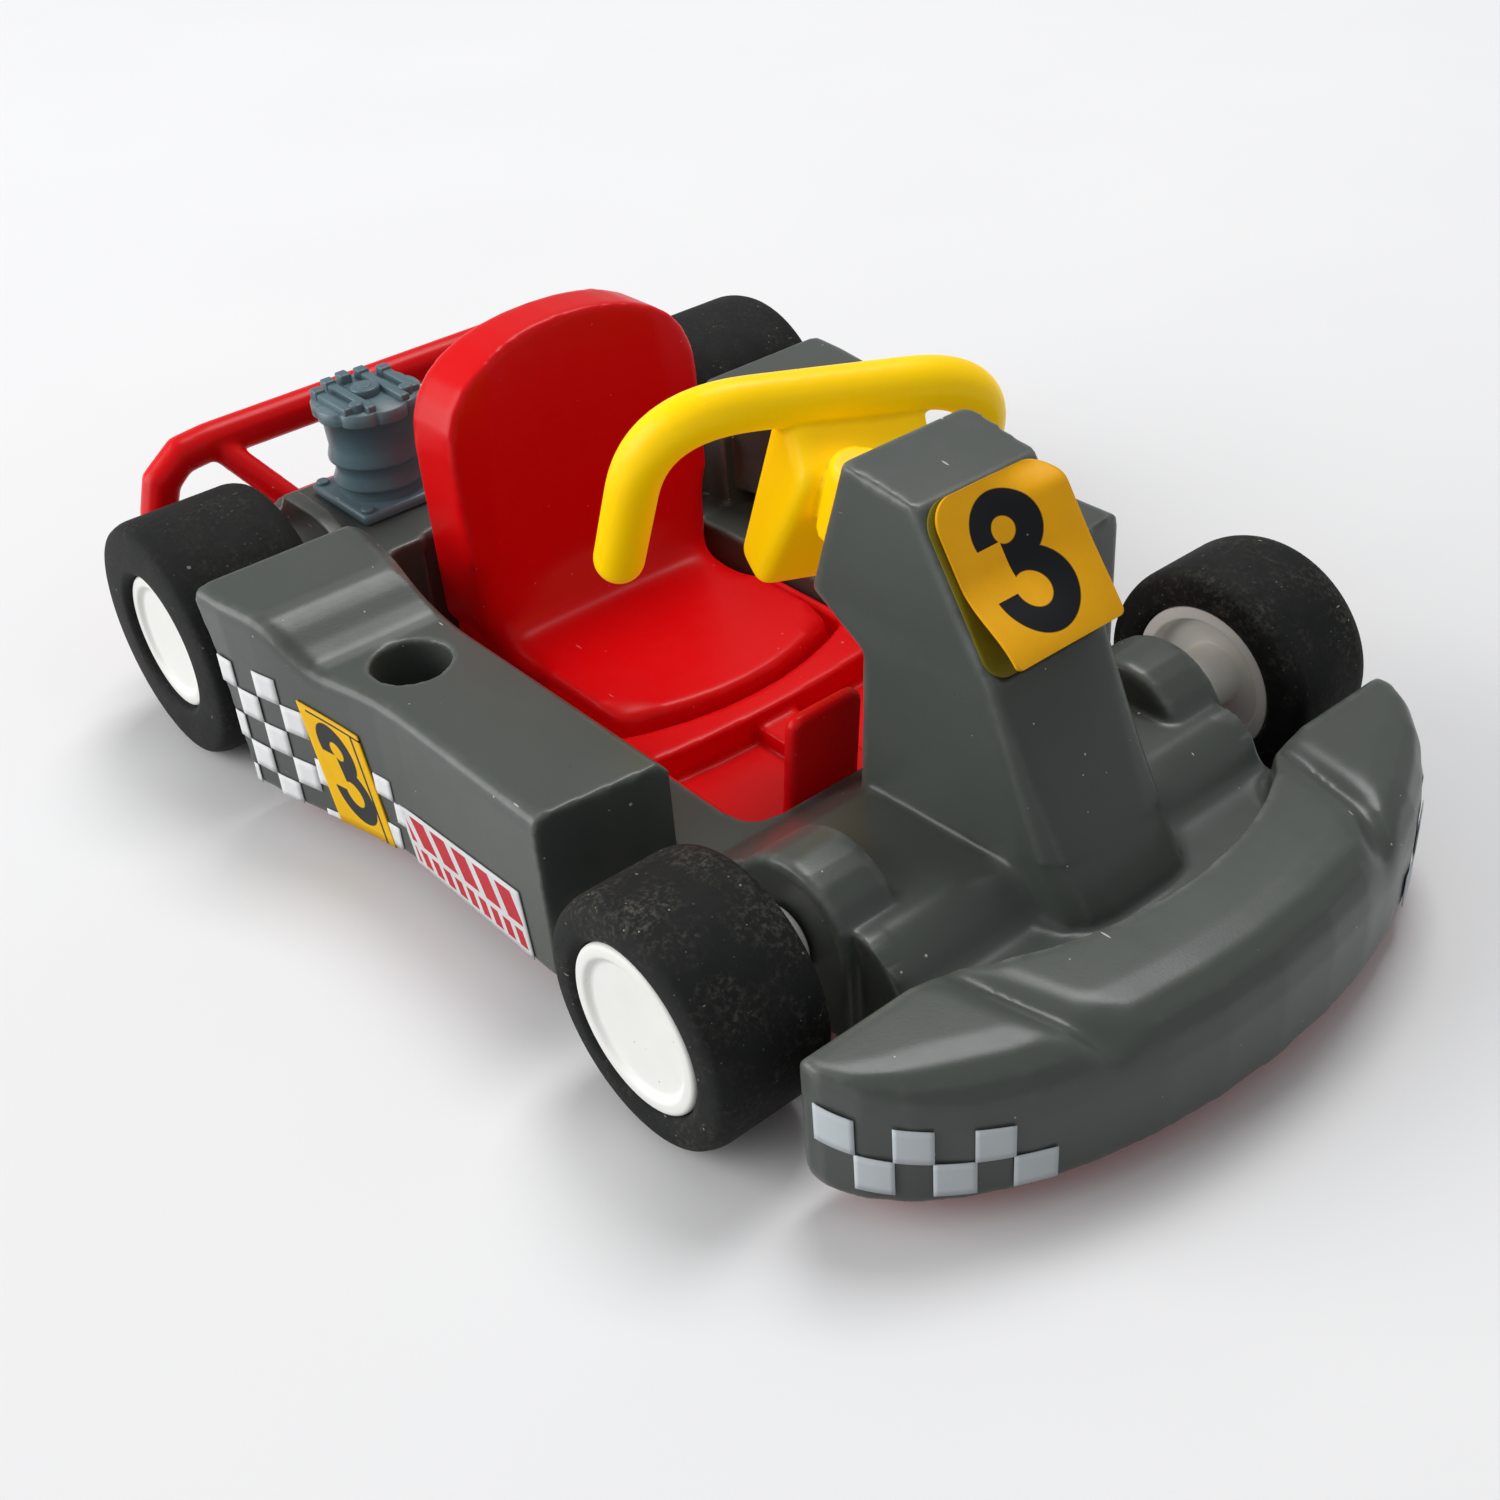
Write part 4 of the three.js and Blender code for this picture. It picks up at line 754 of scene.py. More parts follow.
def evaluated(piece: bpy.types.Object) -> bpy.types.Mesh:
    """The piece's mesh with its modifiers worked in."""
    graph = bpy.context.evaluated_depsgraph_get()
    return bpy.data.meshes.new_from_object(piece.evaluated_get(graph), depsgraph=graph)


def points_of(mesh: bpy.types.Mesh) -> np.ndarray:
    """A mesh's points as rows."""
    flat = np.empty(len(mesh.vertices) * 3, np.float32)
    mesh.vertices.foreach_get("co", flat)
    return flat.reshape(-1, 3).astype(float)


class Neighbours:
    """The edges of an even mesh, for averages over each point's neighbours."""

    def __init__(self, mesh: bpy.types.Mesh) -> None:
        """Reads the mesh's edges."""
        self.count = len(mesh.vertices)
        pairs = np.empty(len(mesh.edges) * 2, np.int32)
        mesh.edges.foreach_get("vertices", pairs)
        self.first, self.second = pairs.reshape(-1, 2).T
        ends = np.bincount(pairs, minlength=self.count)
        self.degree = np.maximum(ends, 1)

    def mean(self, values: np.ndarray) -> np.ndarray:
        """Mean of the neighbours' values, for one value or a row at each point."""
        if values.ndim > 1:
            return np.stack([self.mean(column) for column in values.T], 1)
        total = np.bincount(self.first, values[self.second], self.count)
        total += np.bincount(self.second, values[self.first], self.count)
        return total / self.degree

    def bulge(self, mesh: bpy.types.Mesh, blur: int) -> np.ndarray:
        """How strongly the surface bulges out at each point, per metre; hollows are negative.

        Args:
            mesh: The mesh.
            blur: Rounds of averaging with the neighbours.

        Returns:
            One value for each point.
        """
        points = points_of(mesh)
        normals = np.empty(self.count * 3, np.float32)
        mesh.vertex_normals.foreach_get("vector", normals)
        step = np.linalg.norm(points[self.first] - points[self.second], axis=1).mean()
        bulge = ((points - self.mean(points)) * normals.reshape(-1, 3)).sum(1) * 4.0 / step**2
        for _ in range(blur):
            bulge = 0.5 * bulge + 0.5 * self.mean(bulge)
        return bulge


def mark_bends(mesh: bpy.types.Mesh) -> None:
    """Marks the sharp outer edges and the inner corners of a built mesh for its finish."""
    least = 0.3
    span = 0.7
    bm = bmesh.new()
    bm.from_mesh(mesh)
    edge = bm.verts.layers.float.new("edge")
    hollow = bm.verts.layers.float.new("hollow")
    for line in bm.edges:
        if len(line.link_faces) != 2:
            continue
        bend = line.calc_face_angle_signed()
        layer = edge if bend > 0 else hollow
        for vertex in line.verts:
            share = min(max(abs(bend) - least, 0.0) / span, 1.0)
            vertex[layer] = max(vertex[layer], share)
    bm.to_mesh(mesh)
    bm.free()


@dataclass
class Moulding:
    """A moulded piece: the node's form with the soft edges of a moulding, marked at its edges for wear and
    painted highlight, and in its hollows for painted shade.
    """

    node: str
    body: str
    finish: MouldedPlastic
    voxel: float
    rounds: int
    most_faces: int
    soft_rounds: int = 0
    edge_low: float = 260.0
    edge_span: float = 900.0
    pull: float = 0.5
    quick_coarser: float = 1.6

    def start(self) -> bmesh.types.BMesh:
        """The node's own mesh, merged."""
        bm = bmesh.new()
        bm.from_mesh(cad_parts[self.node].data)
        bmesh.ops.remove_doubles(bm, verts=bm.verts, dist=0.001 * MM)
        return bm

    def openings(self) -> list[bpy.types.Object]:
        """Solids that are cut out of the piece; a plain moulding has none."""
        return []

    def form(self, points: np.ndarray) -> np.ndarray:
        """Moves the even mesh's points, in millimetres; a plain moulding keeps them."""
        return points

    def softness(self, points: np.ndarray) -> np.ndarray:
        """How much the extra rounds soften each point, from 0 to 1."""
        return np.zeros(len(points))

    def even(self, piece: bpy.types.Object) -> bpy.types.Mesh:
        """The piece cut, remeshed evenly, moved to its form and softened.

        Args:
            piece: The starting object.

        Returns:
            The dense mesh.
        """
        cutters = self.openings()
        for cutter in cutters:
            cut = piece.modifiers.new("cut", "BOOLEAN")
            cut.operation = "DIFFERENCE"
            cut.object = cutter
        remesh = piece.modifiers.new("even", "REMESH")
        remesh.mode = "VOXEL"
        remesh.voxel_size = self.voxel * MM * 1.0
        remesh.use_smooth_shade = True
        soften = piece.modifiers.new("soften", "SMOOTH")
        soften.factor = self.pull
        soften.iterations = self.rounds
        dense = evaluated(piece)
        piece.modifiers.clear()
        for cutter in cutters:
            bpy.data.objects.remove(cutter)
        shift = np.array((ORIGIN_X, 0.0, 0.0))
        points = self.form(points_of(dense) / MM + shift)
        soft = self.pull * self.softness(points)[:, None]
        around = Neighbours(dense)
        for _ in range(self.soft_rounds if soft.any() else 0):
            points = points + soft * (around.mean(points) - points)
        dense.vertices.foreach_set("co", ((points - shift) * MM).ravel().astype(np.float32))
        dense.update()
        return dense

    def build(self) -> bpy.types.Object:
        """Makes the softened mesh with its marks for wear, painted highlight and painted shade.

        Returns:
            The object, not yet dressed.
        """
        piece = as_object(f"{self.node}_moulding", self.start())
        dense = self.even(piece)
        piece.data = dense
        bulge = Neighbours(dense).bulge(dense, 3)
        thin = piece.modifiers.new("thin", "DECIMATE")
        thin.ratio = min(1.0, self.most_faces / (2.0 * len(dense.polygons)))
        light = evaluated(piece)
        self.mark(light, points_of(dense), bulge)
        piece.modifiers.clear()
        piece.data = light
        light.polygons.foreach_set("use_smooth", [True] * len(light.polygons))
        bpy.data.meshes.remove(dense)
        return piece

    def mark(self, mesh: bpy.types.Mesh, points: np.ndarray, bulge: np.ndarray) -> None:
        """Writes the edge and hollow marks on the thinned mesh.

        Args:
            mesh: The thinned mesh.
            points: Points of the dense mesh.
            bulge: The dense mesh's bulge.
        """
        tree = KDTree(len(points))
        for number, point in enumerate(points):
            tree.insert(point, number)
        tree.balance()
        near = np.array([tree.find(vertex.co)[1] for vertex in mesh.vertices], int)
        for name, sign in (("edge", 1.0), ("hollow", -1.0)):
            value = np.clip((sign * bulge[near] - self.edge_low) / self.edge_span, 0.0, 1.0)
            layer = mesh.attributes.new(name, "FLOAT", "POINT")
            layer.data.foreach_set("value", value.astype(np.float32))

    def dress(self, piece: bpy.types.Object) -> None:
        """Gives the piece its finish and its body."""
        settle(piece, self.finish.material(), self.body, self.node)


def smooth(values: np.ndarray) -> np.ndarray:
    """A smooth step from 0 to 1 for each value."""
    t = np.clip(values, 0.0, 1.0)
    return t * t * (3.0 - 2.0 * t)


def off_line(points: np.ndarray, first: Sequence[float], last: Sequence[float]) -> np.ndarray:
    """Distance of each point from a line between two places in its own plane."""
    begin = np.array(first)
    along = np.array(last) - begin
    share = np.clip((points - begin) @ along / (along @ along), 0.0, 1.0)
    return np.linalg.norm(points - begin - share[:, None] * along, axis=1)


@dataclass
class BodyMoulding(Moulding):
    """The grey body: wide open behind the seat, with fenders that swing in towards their backs."""

    well_back: float = -26.3
    well_front: float = -19.5
    well_half: float = 20.2
    well_floor: float = 10.8
    well_height: float = 15.0
    well_corner: float = 2.4
    wall_size: tuple[float, float, float] = (1.4, 41.0, 14.6)
    wall_middle: tuple[float, float, float] = (-27.6, 0.0, 11.0)
    deck: float = 19.0
    rib_top: float = 21.6
    rib_half: float = 22.6
    rib_front: float = -22.0
    rib_sunk: float = -29.0
    rib_rise: float = 7.0
    sill: float = 10.7
    sill_blend: float = 1.5
    swing: float = 3.2
    swing_front: float = -6.0
    swing_length: float = 19.0
    swing_back: float = -27.0
    fender_clear: float = 20.3
    fender_inner: float = 24.6
    fender_outer: float = 31.0
    stretch_front: float = -15.0
    stretch_length: float = 8.0
    stretch_low: float = 17.0
    stretch_rise: float = 5.0
    stretch_side: float = 23.5
    nose: float = 14.2
    nose_drop: float = 3.5
    nose_start: float = 45.2
    nose_length: float = 6.6
    nose_end: float = 51.6
    nose_floor: float = 9.0
    hump_half: float = 9.0
    hump_blend: float = 2.5
    groove: tuple[tuple[float, float], ...] = ((51.2, 20.2), (62.2, 17.4), (68.2, 14.6))
    groove_reach: float = 3.2
    groove_blend: float = 1.6
    groove_low: float = 6.0
    hem: float = 4.4
    hem_share: float = 0.4
    slope_middle: float = 49.0
    slope_reach: float = 4.0
    slope_blend: float = 2.0
    slope_side: float = 19.8
    slope_low: float = 9.5
    slope_high: float = 15.5

    def start(self) -> bmesh.types.BMesh:
        """The node's own mesh with a wall that closes the deck's hollow behind the seat."""
        bm = super().start()
        add_block(bm, self.wall_size, at(*self.wall_middle))
        return bm

    def openings(self) -> list[bpy.types.Object]:
        """The open well behind the seat."""
        bm = bmesh.new()
        size = (self.well_front - self.well_back, 2 * self.well_half, self.well_height)
        middle = at((self.well_front + self.well_back) / 2, 0.0, self.well_floor + self.well_height / 2)
        corners = [corner for corner in add_block(bm, size, middle) if corner.co.x < middle.x]
        upright = [
            line
            for line in edges_at(corners)
            if abs(line.verts[0].co.z - line.verts[1].co.z) > self.well_height * MM / 2
        ]
        round_edges(bm, upright, self.well_corner * MM, 5)
        return [as_object("well_cutter", bm)]

    def ribs_height(self, x: np.ndarray, across: np.ndarray, z: np.ndarray) -> np.ndarray:
        """Heights with the ribs' front ends sunk into the deck."""
        rib = (z > self.deck) & (z < self.rib_top) & (across < self.rib_half) & (x < self.rib_front)
        rise = smooth((self.rib_sunk - x) / self.rib_rise)
        return np.where(rib, self.deck + (z - self.deck) * rise, z)

    def fender_swing(self, x: np.ndarray, across: np.ndarray, z: np.ndarray) -> np.ndarray:
        """How far the fenders' inner walls swing in."""
        above = np.clip((z - self.sill) / self.sill_blend, 0.0, 1.0)
        swing = self.swing * smooth((self.swing_front - x) / self.swing_length) * (x > self.swing_back)
        inner = (across - self.fender_clear) / (self.fender_inner - self.fender_clear)
        outer = (self.fender_outer - across) / (self.fender_outer - self.fender_inner)
        near = np.where(across < self.fender_inner, inner, outer)
        return swing * above * np.clip(near, 0.0, 1.0)

    def fender_stretch(self, x: np.ndarray, across: np.ndarray, z: np.ndarray) -> np.ndarray:
        """How far the fenders' tops reach further back."""
        behind = np.clip((self.stretch_front - x) / self.stretch_length, 0.0, 1.0)
        return behind * smooth((z - self.stretch_low) / self.stretch_rise) * (across > self.stretch_side)

    def nose_height(self, x: np.ndarray, across: np.ndarray, z: np.ndarray) -> np.ndarray:
        """Heights with the nose sloping down to the bumper on both sides of the hump."""
        ramp = self.nose - self.nose_drop * smooth((x - self.nose_start) / self.nose_length)
        beside = smooth((across - self.hump_half) / self.hump_blend)
        beside = beside * (x > self.nose_start) * (x < self.nose_end) * (z > self.nose_floor)
        return z + beside * np.minimum(ramp - z, 0.0)

    def form(self, points: np.ndarray) -> np.ndarray:
        """Sinks the ribs' front ends, swings the fenders in, takes them back and slopes the nose."""
        x, y, z = points.T.copy()
        across = np.abs(y)
        z = self.ribs_height(x, across, z)
        moved = across - self.fender_swing(x, across, z)
        back = x - self.fender_stretch(x, across, z)
        return np.stack((back, np.sign(y) * moved, self.nose_height(x, across, z)), 1)

    def softness(self, points: np.ndarray) -> np.ndarray:
        """Softens the bumper's grooves, the nose's slope and the lower edge."""
        x, y, z = points.T
        across = np.abs(y)
        plan = np.stack((x, across), 1)
        gap = np.minimum(*(off_line(plan, a, b) for a, b in zip(self.groove, self.groove[1:])))
        grooves = np.clip((self.groove_reach - gap) / self.groove_blend, 0.0, 1.0) * (z > self.groove_low)
        lower = self.hem_share * np.clip(self.hem - z, 0.0, 1.0)
        slope = np.clip((self.slope_reach - np.abs(x - self.slope_middle)) / self.slope_blend, 0.0, 1.0)
        slope *= (across < self.slope_side) & (z > self.slope_low) & (z < self.slope_high)
        return np.maximum(np.maximum(grooves, lower), slope)


@dataclass
class PanMoulding(Moulding):
    """The red base pan, whose rim is tucked under the pods and whose tub is low beside the seat's back."""

    tuck: float = 2.0
    tuck_start: float = 27.0
    tuck_length: float = 5.0
    tuck_top: float = 3.3
    tuck_front: float = 30.0
    tub_front: float = -9.0
    tub_side: float = 12.5
    tub_rim: float = 6.4
    tub_left: float = 0.05

    def form(self, points: np.ndarray) -> np.ndarray:
        """Draws the rim in under the pods and lowers the tub's back corners."""
        x, y, z = points.T.copy()
        across = np.abs(y)
        drawn = self.tuck * smooth((across - self.tuck_start) / self.tuck_length)
        drawn = drawn * (z < self.tuck_top) * (x < self.tuck_front)
        corner = (x < self.tub_front) & (across > self.tub_side) & (z > self.tub_rim)
        z = np.where(corner, self.tub_rim + self.tub_left * (z - self.tub_rim), z)
        return np.stack((x, np.sign(y) * (across - drawn), z), 1)


@dataclass
class SeatMoulding(Moulding):
    """The red seat, whose back flows into the pan and whose front corners are round."""

    bend: tuple[float, float] = (-15.6, 11.8)
    bend_reach: float = 7.5
    bend_blend: float = 3.0
    bend_low: float = 8.5
    corner: tuple[float, float] = (3.4, 13.0)
    corner_reach: float = 4.0
    corner_blend: float = 2.0
    corner_low: float = 6.5
    corner_share: float = 0.5

    def softness(self, points: np.ndarray) -> np.ndarray:
        """Softens the bend between back and pan, and the pan's corners."""
        x, y, z = points.T
        profile = np.stack((x, z), 1) - np.array(self.bend)
        plan = np.stack((x, np.abs(y)), 1) - np.array(self.corner)
        bend = np.clip((self.bend_reach - np.linalg.norm(profile, axis=1)) / self.bend_blend, 0.0, 1.0)
        corner = np.clip((self.corner_reach - np.linalg.norm(plan, axis=1)) / self.corner_blend, 0.0, 1.0)
        return np.maximum(bend * (z > self.bend_low), self.corner_share * corner * (z > self.corner_low))


@dataclass
class YokeMoulding(Moulding):
    """The yellow yoke, drawn straight ahead in the pin's frame: a bent bar with grips and a thick stem."""

    pivot: tuple[float, float, float] = (23.9, 0.0, 39.2)
    lean: float = 17.8
    turn: float = -19.6
    radius: float = 2.34
    reach: float = 8.0
    half: float = 16.2
    grip: float = 17.8
    sweep: float = 2.4
    bend: float = 9.0
    knuckle: tuple[float, float, float] = (2.8, -8.5, -1.2)
    stem_top: tuple[float, float, float] = (-4.3, 9.0, 0.9)
    stem_low: tuple[float, float, float] = (-5.3, 5.4, -18.5)
    stem_right_low: float = -19.8
    stem_brow: float = -3.4
    stem_round: float = 1.5
    stem_depth: tuple[float, float, float] = (-9.7, -1.0, -3.4)
    stem_low_depth: tuple[float, float, float] = (-9.7, -4.4, -5.6)
    arc_steps: int = 12

    def path(self) -> list[Vector]:
        """The bar's middle line from one grip's end to the other's."""
        line = []
        for side in (1, -1):
            corner = Vector((-self.reach, side * self.half, 0.0))
            tip = Vector((-self.reach - self.sweep, side * self.half, -self.grip))
            low = corner + (tip - corner).normalized() * self.bend
            inner = corner - Vector((0.0, side * self.bend, 0.0))
            steps = [number / self.arc_steps for number in range(self.arc_steps + 1)]
            arc = [low * (1 - t) ** 2 + corner * 2 * t * (1 - t) + inner * t * t for t in steps]
            run = [tip, *arc]
            line += run if side > 0 else run[::-1]
        return line

    def bar(self, bm: bmesh.types.BMesh) -> None:
        """Adds the bar and its round ends."""
        data = bpy.data.curves.new("yoke_bar", "CURVE")
        data.dimensions = "3D"
        data.bevel_depth = self.radius
        data.bevel_resolution = 8
        data.use_fill_caps = True
        points = self.path()
        spline = data.splines.new("POLY")
        spline.points.add(len(points) - 1)
        for target, point in zip(spline.points, points):
            target.co = (*point, 1.0)
        rail = bpy.data.objects.new("yoke_bar", data)
        bpy.context.scene.collection.objects.link(rail)
        bpy.context.view_layer.update()
        bm.from_mesh(evaluated(rail))
        bpy.data.objects.remove(rail)
        for end in (points[0], points[-1]):
            bmesh.ops.create_uvsphere(
                bm, u_segments=32, v_segments=16, radius=self.radius, matrix=Matrix.Translation(end)
            )

    def stem(self, bm: bmesh.types.BMesh) -> None:
        """Adds the thick stem under the bar and its barrel round the pin."""
        made = bmesh.ops.create_cube(bm, size=2.0)["verts"]
        for vertex in made:
            right, top, ahead = (value > 0 for value in (vertex.co.y, vertex.co.z, vertex.co.x))
            row = self.stem_top if top else self.stem_low
            back, front, front_right = self.stem_depth if top else self.stem_low_depth
            depth = (front_right if right else front) if ahead else back
            level = self.stem_right_low if right and not top else row[2]
            level = self.stem_brow if top and ahead else level
            vertex.co = (depth, row[1] if right else row[0], level)
        round_edges(bm, edges_at(made), self.stem_round, 4)
        radius, low, high = self.knuckle
        bmesh.ops.create_cone(
            bm,
            cap_ends=True,
            segments=40,
            radius1=radius,
            radius2=radius,
            depth=high - low,
            matrix=Matrix.Translation((0.0, 0.0, (low + high) / 2)),
        )

    def start(self) -> bmesh.types.BMesh:
        """The yoke's solids, turned to where the node is."""
        bm = bmesh.new()
        self.bar(bm)
        self.stem(bm)
        leaned = Matrix.Rotation(math.radians(self.lean), 4, "Y")
        turned = Matrix.Rotation(math.radians(self.turn), 4, "Z")
        place = Matrix.Translation(at(*self.pivot)) @ leaned @ turned @ Matrix.Scale(MM, 4)
        bmesh.ops.transform(bm, matrix=place, verts=bm.verts)
        bmesh.ops.recalc_face_normals(bm, faces=bm.faces)
        return bm


@dataclass
class Wheel:
    """One wheel: a tyre and a rim turned about the axle."""

    end: str
    side: int
    axle: tuple[float, float]
    radius: float
    width: float
    track: float
    rim_radius: float
    rim_set: float
    hub_inner: float
    dust: float
    steps: int = 112
    lip: float = 1.1
    dish: float = 0.55
    press: float = 0.12
    hub_radius: float = 3.0
    bore: float = 1.32

    @property
    def hand(self) -> str:
        """The side's name."""
        return hand_of(self.side)

    def turn(self, name: str, profile: Sequence[tuple[float, float, float]]) -> bpy.types.Object:
        """Turns a closed profile about the axle and rounds its corners.

        Args:
            name: The piece's name.
            profile: Radius, distance outwards from the wheel's middle and corner radius of each point.

        Returns:
            The turned object.
        """
        middle = self.track / 2 - self.width / 2
        x, z = self.axle
        bm = bmesh.new()
        centre = at(x, 0.0, z)
        places = [at(x + radius, self.side * (middle + out), z) for radius, out, _ in profile]
        spin_profile(bm, places, centre, Vector((0.0, 1.0, 0.0)), self.steps, True)
        bmesh.ops.recalc_face_normals(bm, faces=bm.faces)
        for radius, out, edge in profile:
            if edge > 0:
                self.round_off(bm, centre, radius * MM, self.side * (middle + out) * MM, edge * MM)
        return as_object(name, bm)

    @staticmethod
    def round_off(bm: bmesh.types.BMesh, centre: Vector, radius: float, y: float, edge: float) -> None:
        """Bevels the ring of edges at one profile corner.

        Args:
            bm: The turned mesh.
            centre: A point on the axle.
            radius: The ring's radius.
            y: The ring's place along the axle.
            edge: The bevel's width.
        """
        near = 0.01 * MM

        def on_ring(vertex: bmesh.types.BMVert) -> bool:
            """Whether a vertex lies on that ring."""
            reach = math.hypot(vertex.co.x - centre.x, vertex.co.z - centre.z)
            return abs(reach - radius) < near and abs(vertex.co.y - y) < near

        ring = [line for line in bm.edges if all(on_ring(vertex) for vertex in line.verts)]
        round_edges(bm, ring, edge, 4, True)

    def build(self) -> list[bpy.types.Object]:
        """Makes the tyre and the rim.

        Returns:
            Both objects, not yet dressed.
        """
        half = self.width / 2
        bore = self.rim_radius + self.press
        outer = [
            (bore, half - 0.45, 0.0),
            (bore + 0.55, half - 0.02, 0.25),
            (self.radius - 1.35, half - 0.05, 0.0),
            (self.radius - 0.55, half - 0.32, 0.35),
            (self.radius - 0.02, half - 1.5, 0.55),
        ]
        inner = [(radius, -out, edge) for radius, out, edge in reversed(outer)]
        tyre = self.turn(f"{self.end}_tyre_{self.hand}_rubber", outer + inner)
        face = half - self.rim_set
        floor = face - self.dish
        rim_r = self.rim_radius
        rim = self.turn(
            f"{self.end}_rim_{self.hand}_plastic",
            [
                (0.0, floor, 0.0),
                (rim_r - self.lip - 0.55, floor, 0.25),
                (rim_r - self.lip - 0.05, face - 0.02, 0.2),
                (rim_r - 0.02, face - 0.02, 0.42),
                (rim_r - 0.02, -half + 0.6, 0.15),
                (rim_r - 1.3, -half + 0.6, 0.3),
                (rim_r - 1.3, -half + 2.4, 0.5),
                (self.hub_radius, -half + 2.4, 0.3),
                (self.hub_radius, self.hub_inner, 0.25),
                (self.bore, self.hub_inner, 0.0),
                (self.bore, floor - 1.0, 0.0),
                (0.0, floor - 1.0, 0.0),
            ],
        )
        return [tyre, rim]

    def dress(self, made: Sequence[bpy.types.Object]) -> None:
        """Gives the tyre and the rim their finishes and their wheelset."""
        tyre, rim = made
        rubber = DustyRubber(f"{self.end}_{self.hand}_rubber", self.dust)
        body = f"{self.end}_wheelset"
        settle(tyre, rubber.material(), body, f"{self.end}_tyre_{self.hand}")
        settle(rim, RIM_WHITE.material(), body, f"{self.end}_rim_{self.hand}")


@dataclass
class Engine:
    """The dummy engine behind the seat: a foot, a stepped barrel and a finned head."""

    axis: tuple[float, float] = (-38.0, -12.4)
    deck: float = 19.0
    foot_half: float = 5.65
    head_radius: float = 5.5
    lobe: float = 0.22
    lobes: int = 9
    head_low: float = 28.9
    head_high: float = 30.3
    top: float = 31.25
    steps: int = 108
    peg_edge: float = 0.2
    foot_gap: float = 0.03
    foot_height: float = 1.2
    foot_edge: float = 0.5
    bolt_inset: float = 1.0
    bolt_low: float = 0.5
    bolt_high: float = 1.6
    bolt_radius: float = 0.72
    sunk: float = 0.4
    fins: tuple[float, ...] = (-3.9, -1.95, 1.95, 3.9)
    fin_short: float = 0.35
    fin_half: float = 0.5
    fin_drop: float = 0.28
    fin_edge: float = 0.22
    lug_half: float = 0.62
    lug_length: float = 1.4
    lug_edge: float = 0.2
    middle_lug: tuple[float, float] = (0.3, -3.6)
    plug_radius: float = 1.5
    plug_drop: float = 0.1
    tip_radius: float = 0.75
    studs: tuple[float, ...] = (-2.9, 2.9)
    stud_front: float = 3.2
    stud_drop: float = 0.05

    def turned(self, bm: bmesh.types.BMesh) -> None:
        """Adds the barrel and the head, turned about the engine's axis."""
        profile = [
            (0.0, self.deck - 2.9),
            (2.4, self.deck - 2.9),
            (2.4, self.deck + 0.2),
            (4.9, self.deck + 0.2),
            (4.45, self.deck + 1.45),
            (4.45, self.deck + 2.35),
            (4.95, self.deck + 2.45),
            (4.95, self.deck + 2.7),
            (4.55, self.deck + 3.6),
            (4.55, self.deck + 4.95),
            (5.05, self.deck + 5.05),
            (5.05, self.deck + 5.35),
            (4.75, self.deck + 6.4),
            (4.92, self.head_low),
            (self.head_radius - 0.1, self.head_low),
            (self.head_radius, self.head_low + 0.12),
            (self.head_radius, self.head_high - 0.15),
            (self.head_radius - 0.15, self.head_high),
            (0.0, self.head_high),
        ]
        x, y = self.axis
        centre = at(x, y, 0.0)
        places = [at(x + radius, y, z) for radius, z in profile]
        spin_profile(bm, places, centre, Vector((0.0, 0.0, 1.0)), self.steps, False)
        for vertex in bm.verts:
            across = Vector((vertex.co.x - centre.x, vertex.co.y - centre.y, 0.0))
            if vertex.co.z > (self.head_low - 0.01) * MM and across.length > (self.head_radius - 0.3) * MM:
                turn = math.atan2(across.y, across.x) * self.lobes / 2
                vertex.co += across.normalized() * (abs(math.cos(turn)) ** 0.5 * 2.0 - 1.0) * self.lobe * MM

    def block(self, bm: bmesh.types.BMesh, low: Sequence[float], high: Sequence[float], edge: float) -> None:
        """Adds a block with rounded edges between two corners, measured from the axis.

        Args:
            bm: The mesh that takes it.
            low: Its lowest corner.
            high: Its highest corner.
            edge: The edges' radius.
        """
        size = [b - a for a, b in zip(low, high)]
        x, y, z = ((a + b) / 2 for a, b in zip(low, high))
        made = add_block(bm, size, at(self.axis[0] + x, self.axis[1] + y, z))
        round_edges(bm, edges_at(made), edge * MM, 3)

    def peg(self, bm: bmesh.types.BMesh, x: float, y: float, low: float, high: float, radius: float) -> None:
        """Adds a round peg with a soft top edge, measured from the axis.

        Args:
            bm: The mesh that takes it.
            x: Its place forwards.
            y: Its place to the left.
            low: Its foot's height.
            high: Its top's height.
            radius: Its radius.
        """
        made = bmesh.ops.create_cone(
            bm,
            cap_ends=True,
            segments=32,
            radius1=radius * MM,
            radius2=radius * MM,
            depth=(high - low) * MM,
            matrix=Matrix.Translation(at(self.axis[0] + x, self.axis[1] + y, (low + high) / 2)),
        )["verts"]
        upper = [vertex for vertex in made if vertex.co.z > (low + high) / 2 * MM]
        lines = [line for line in edges_at(upper) if all(end in upper for end in line.verts)]
        round_edges(bm, lines, self.peg_edge * MM, 3)

    def foot(self, bm: bmesh.types.BMesh) -> None:
        """Adds the square foot and its four bolts."""
        half = self.foot_half
        low = (-half, -half, self.deck + self.foot_gap)
        high = (half, half, self.deck + self.foot_height)
        self.block(bm, low, high, self.foot_edge)
        reach = half - self.bolt_inset
        for x in (-reach, reach):
            for y in (-reach, reach):
                self.peg(bm, x, y, self.deck + self.bolt_low, self.deck + self.bolt_high, self.bolt_radius)

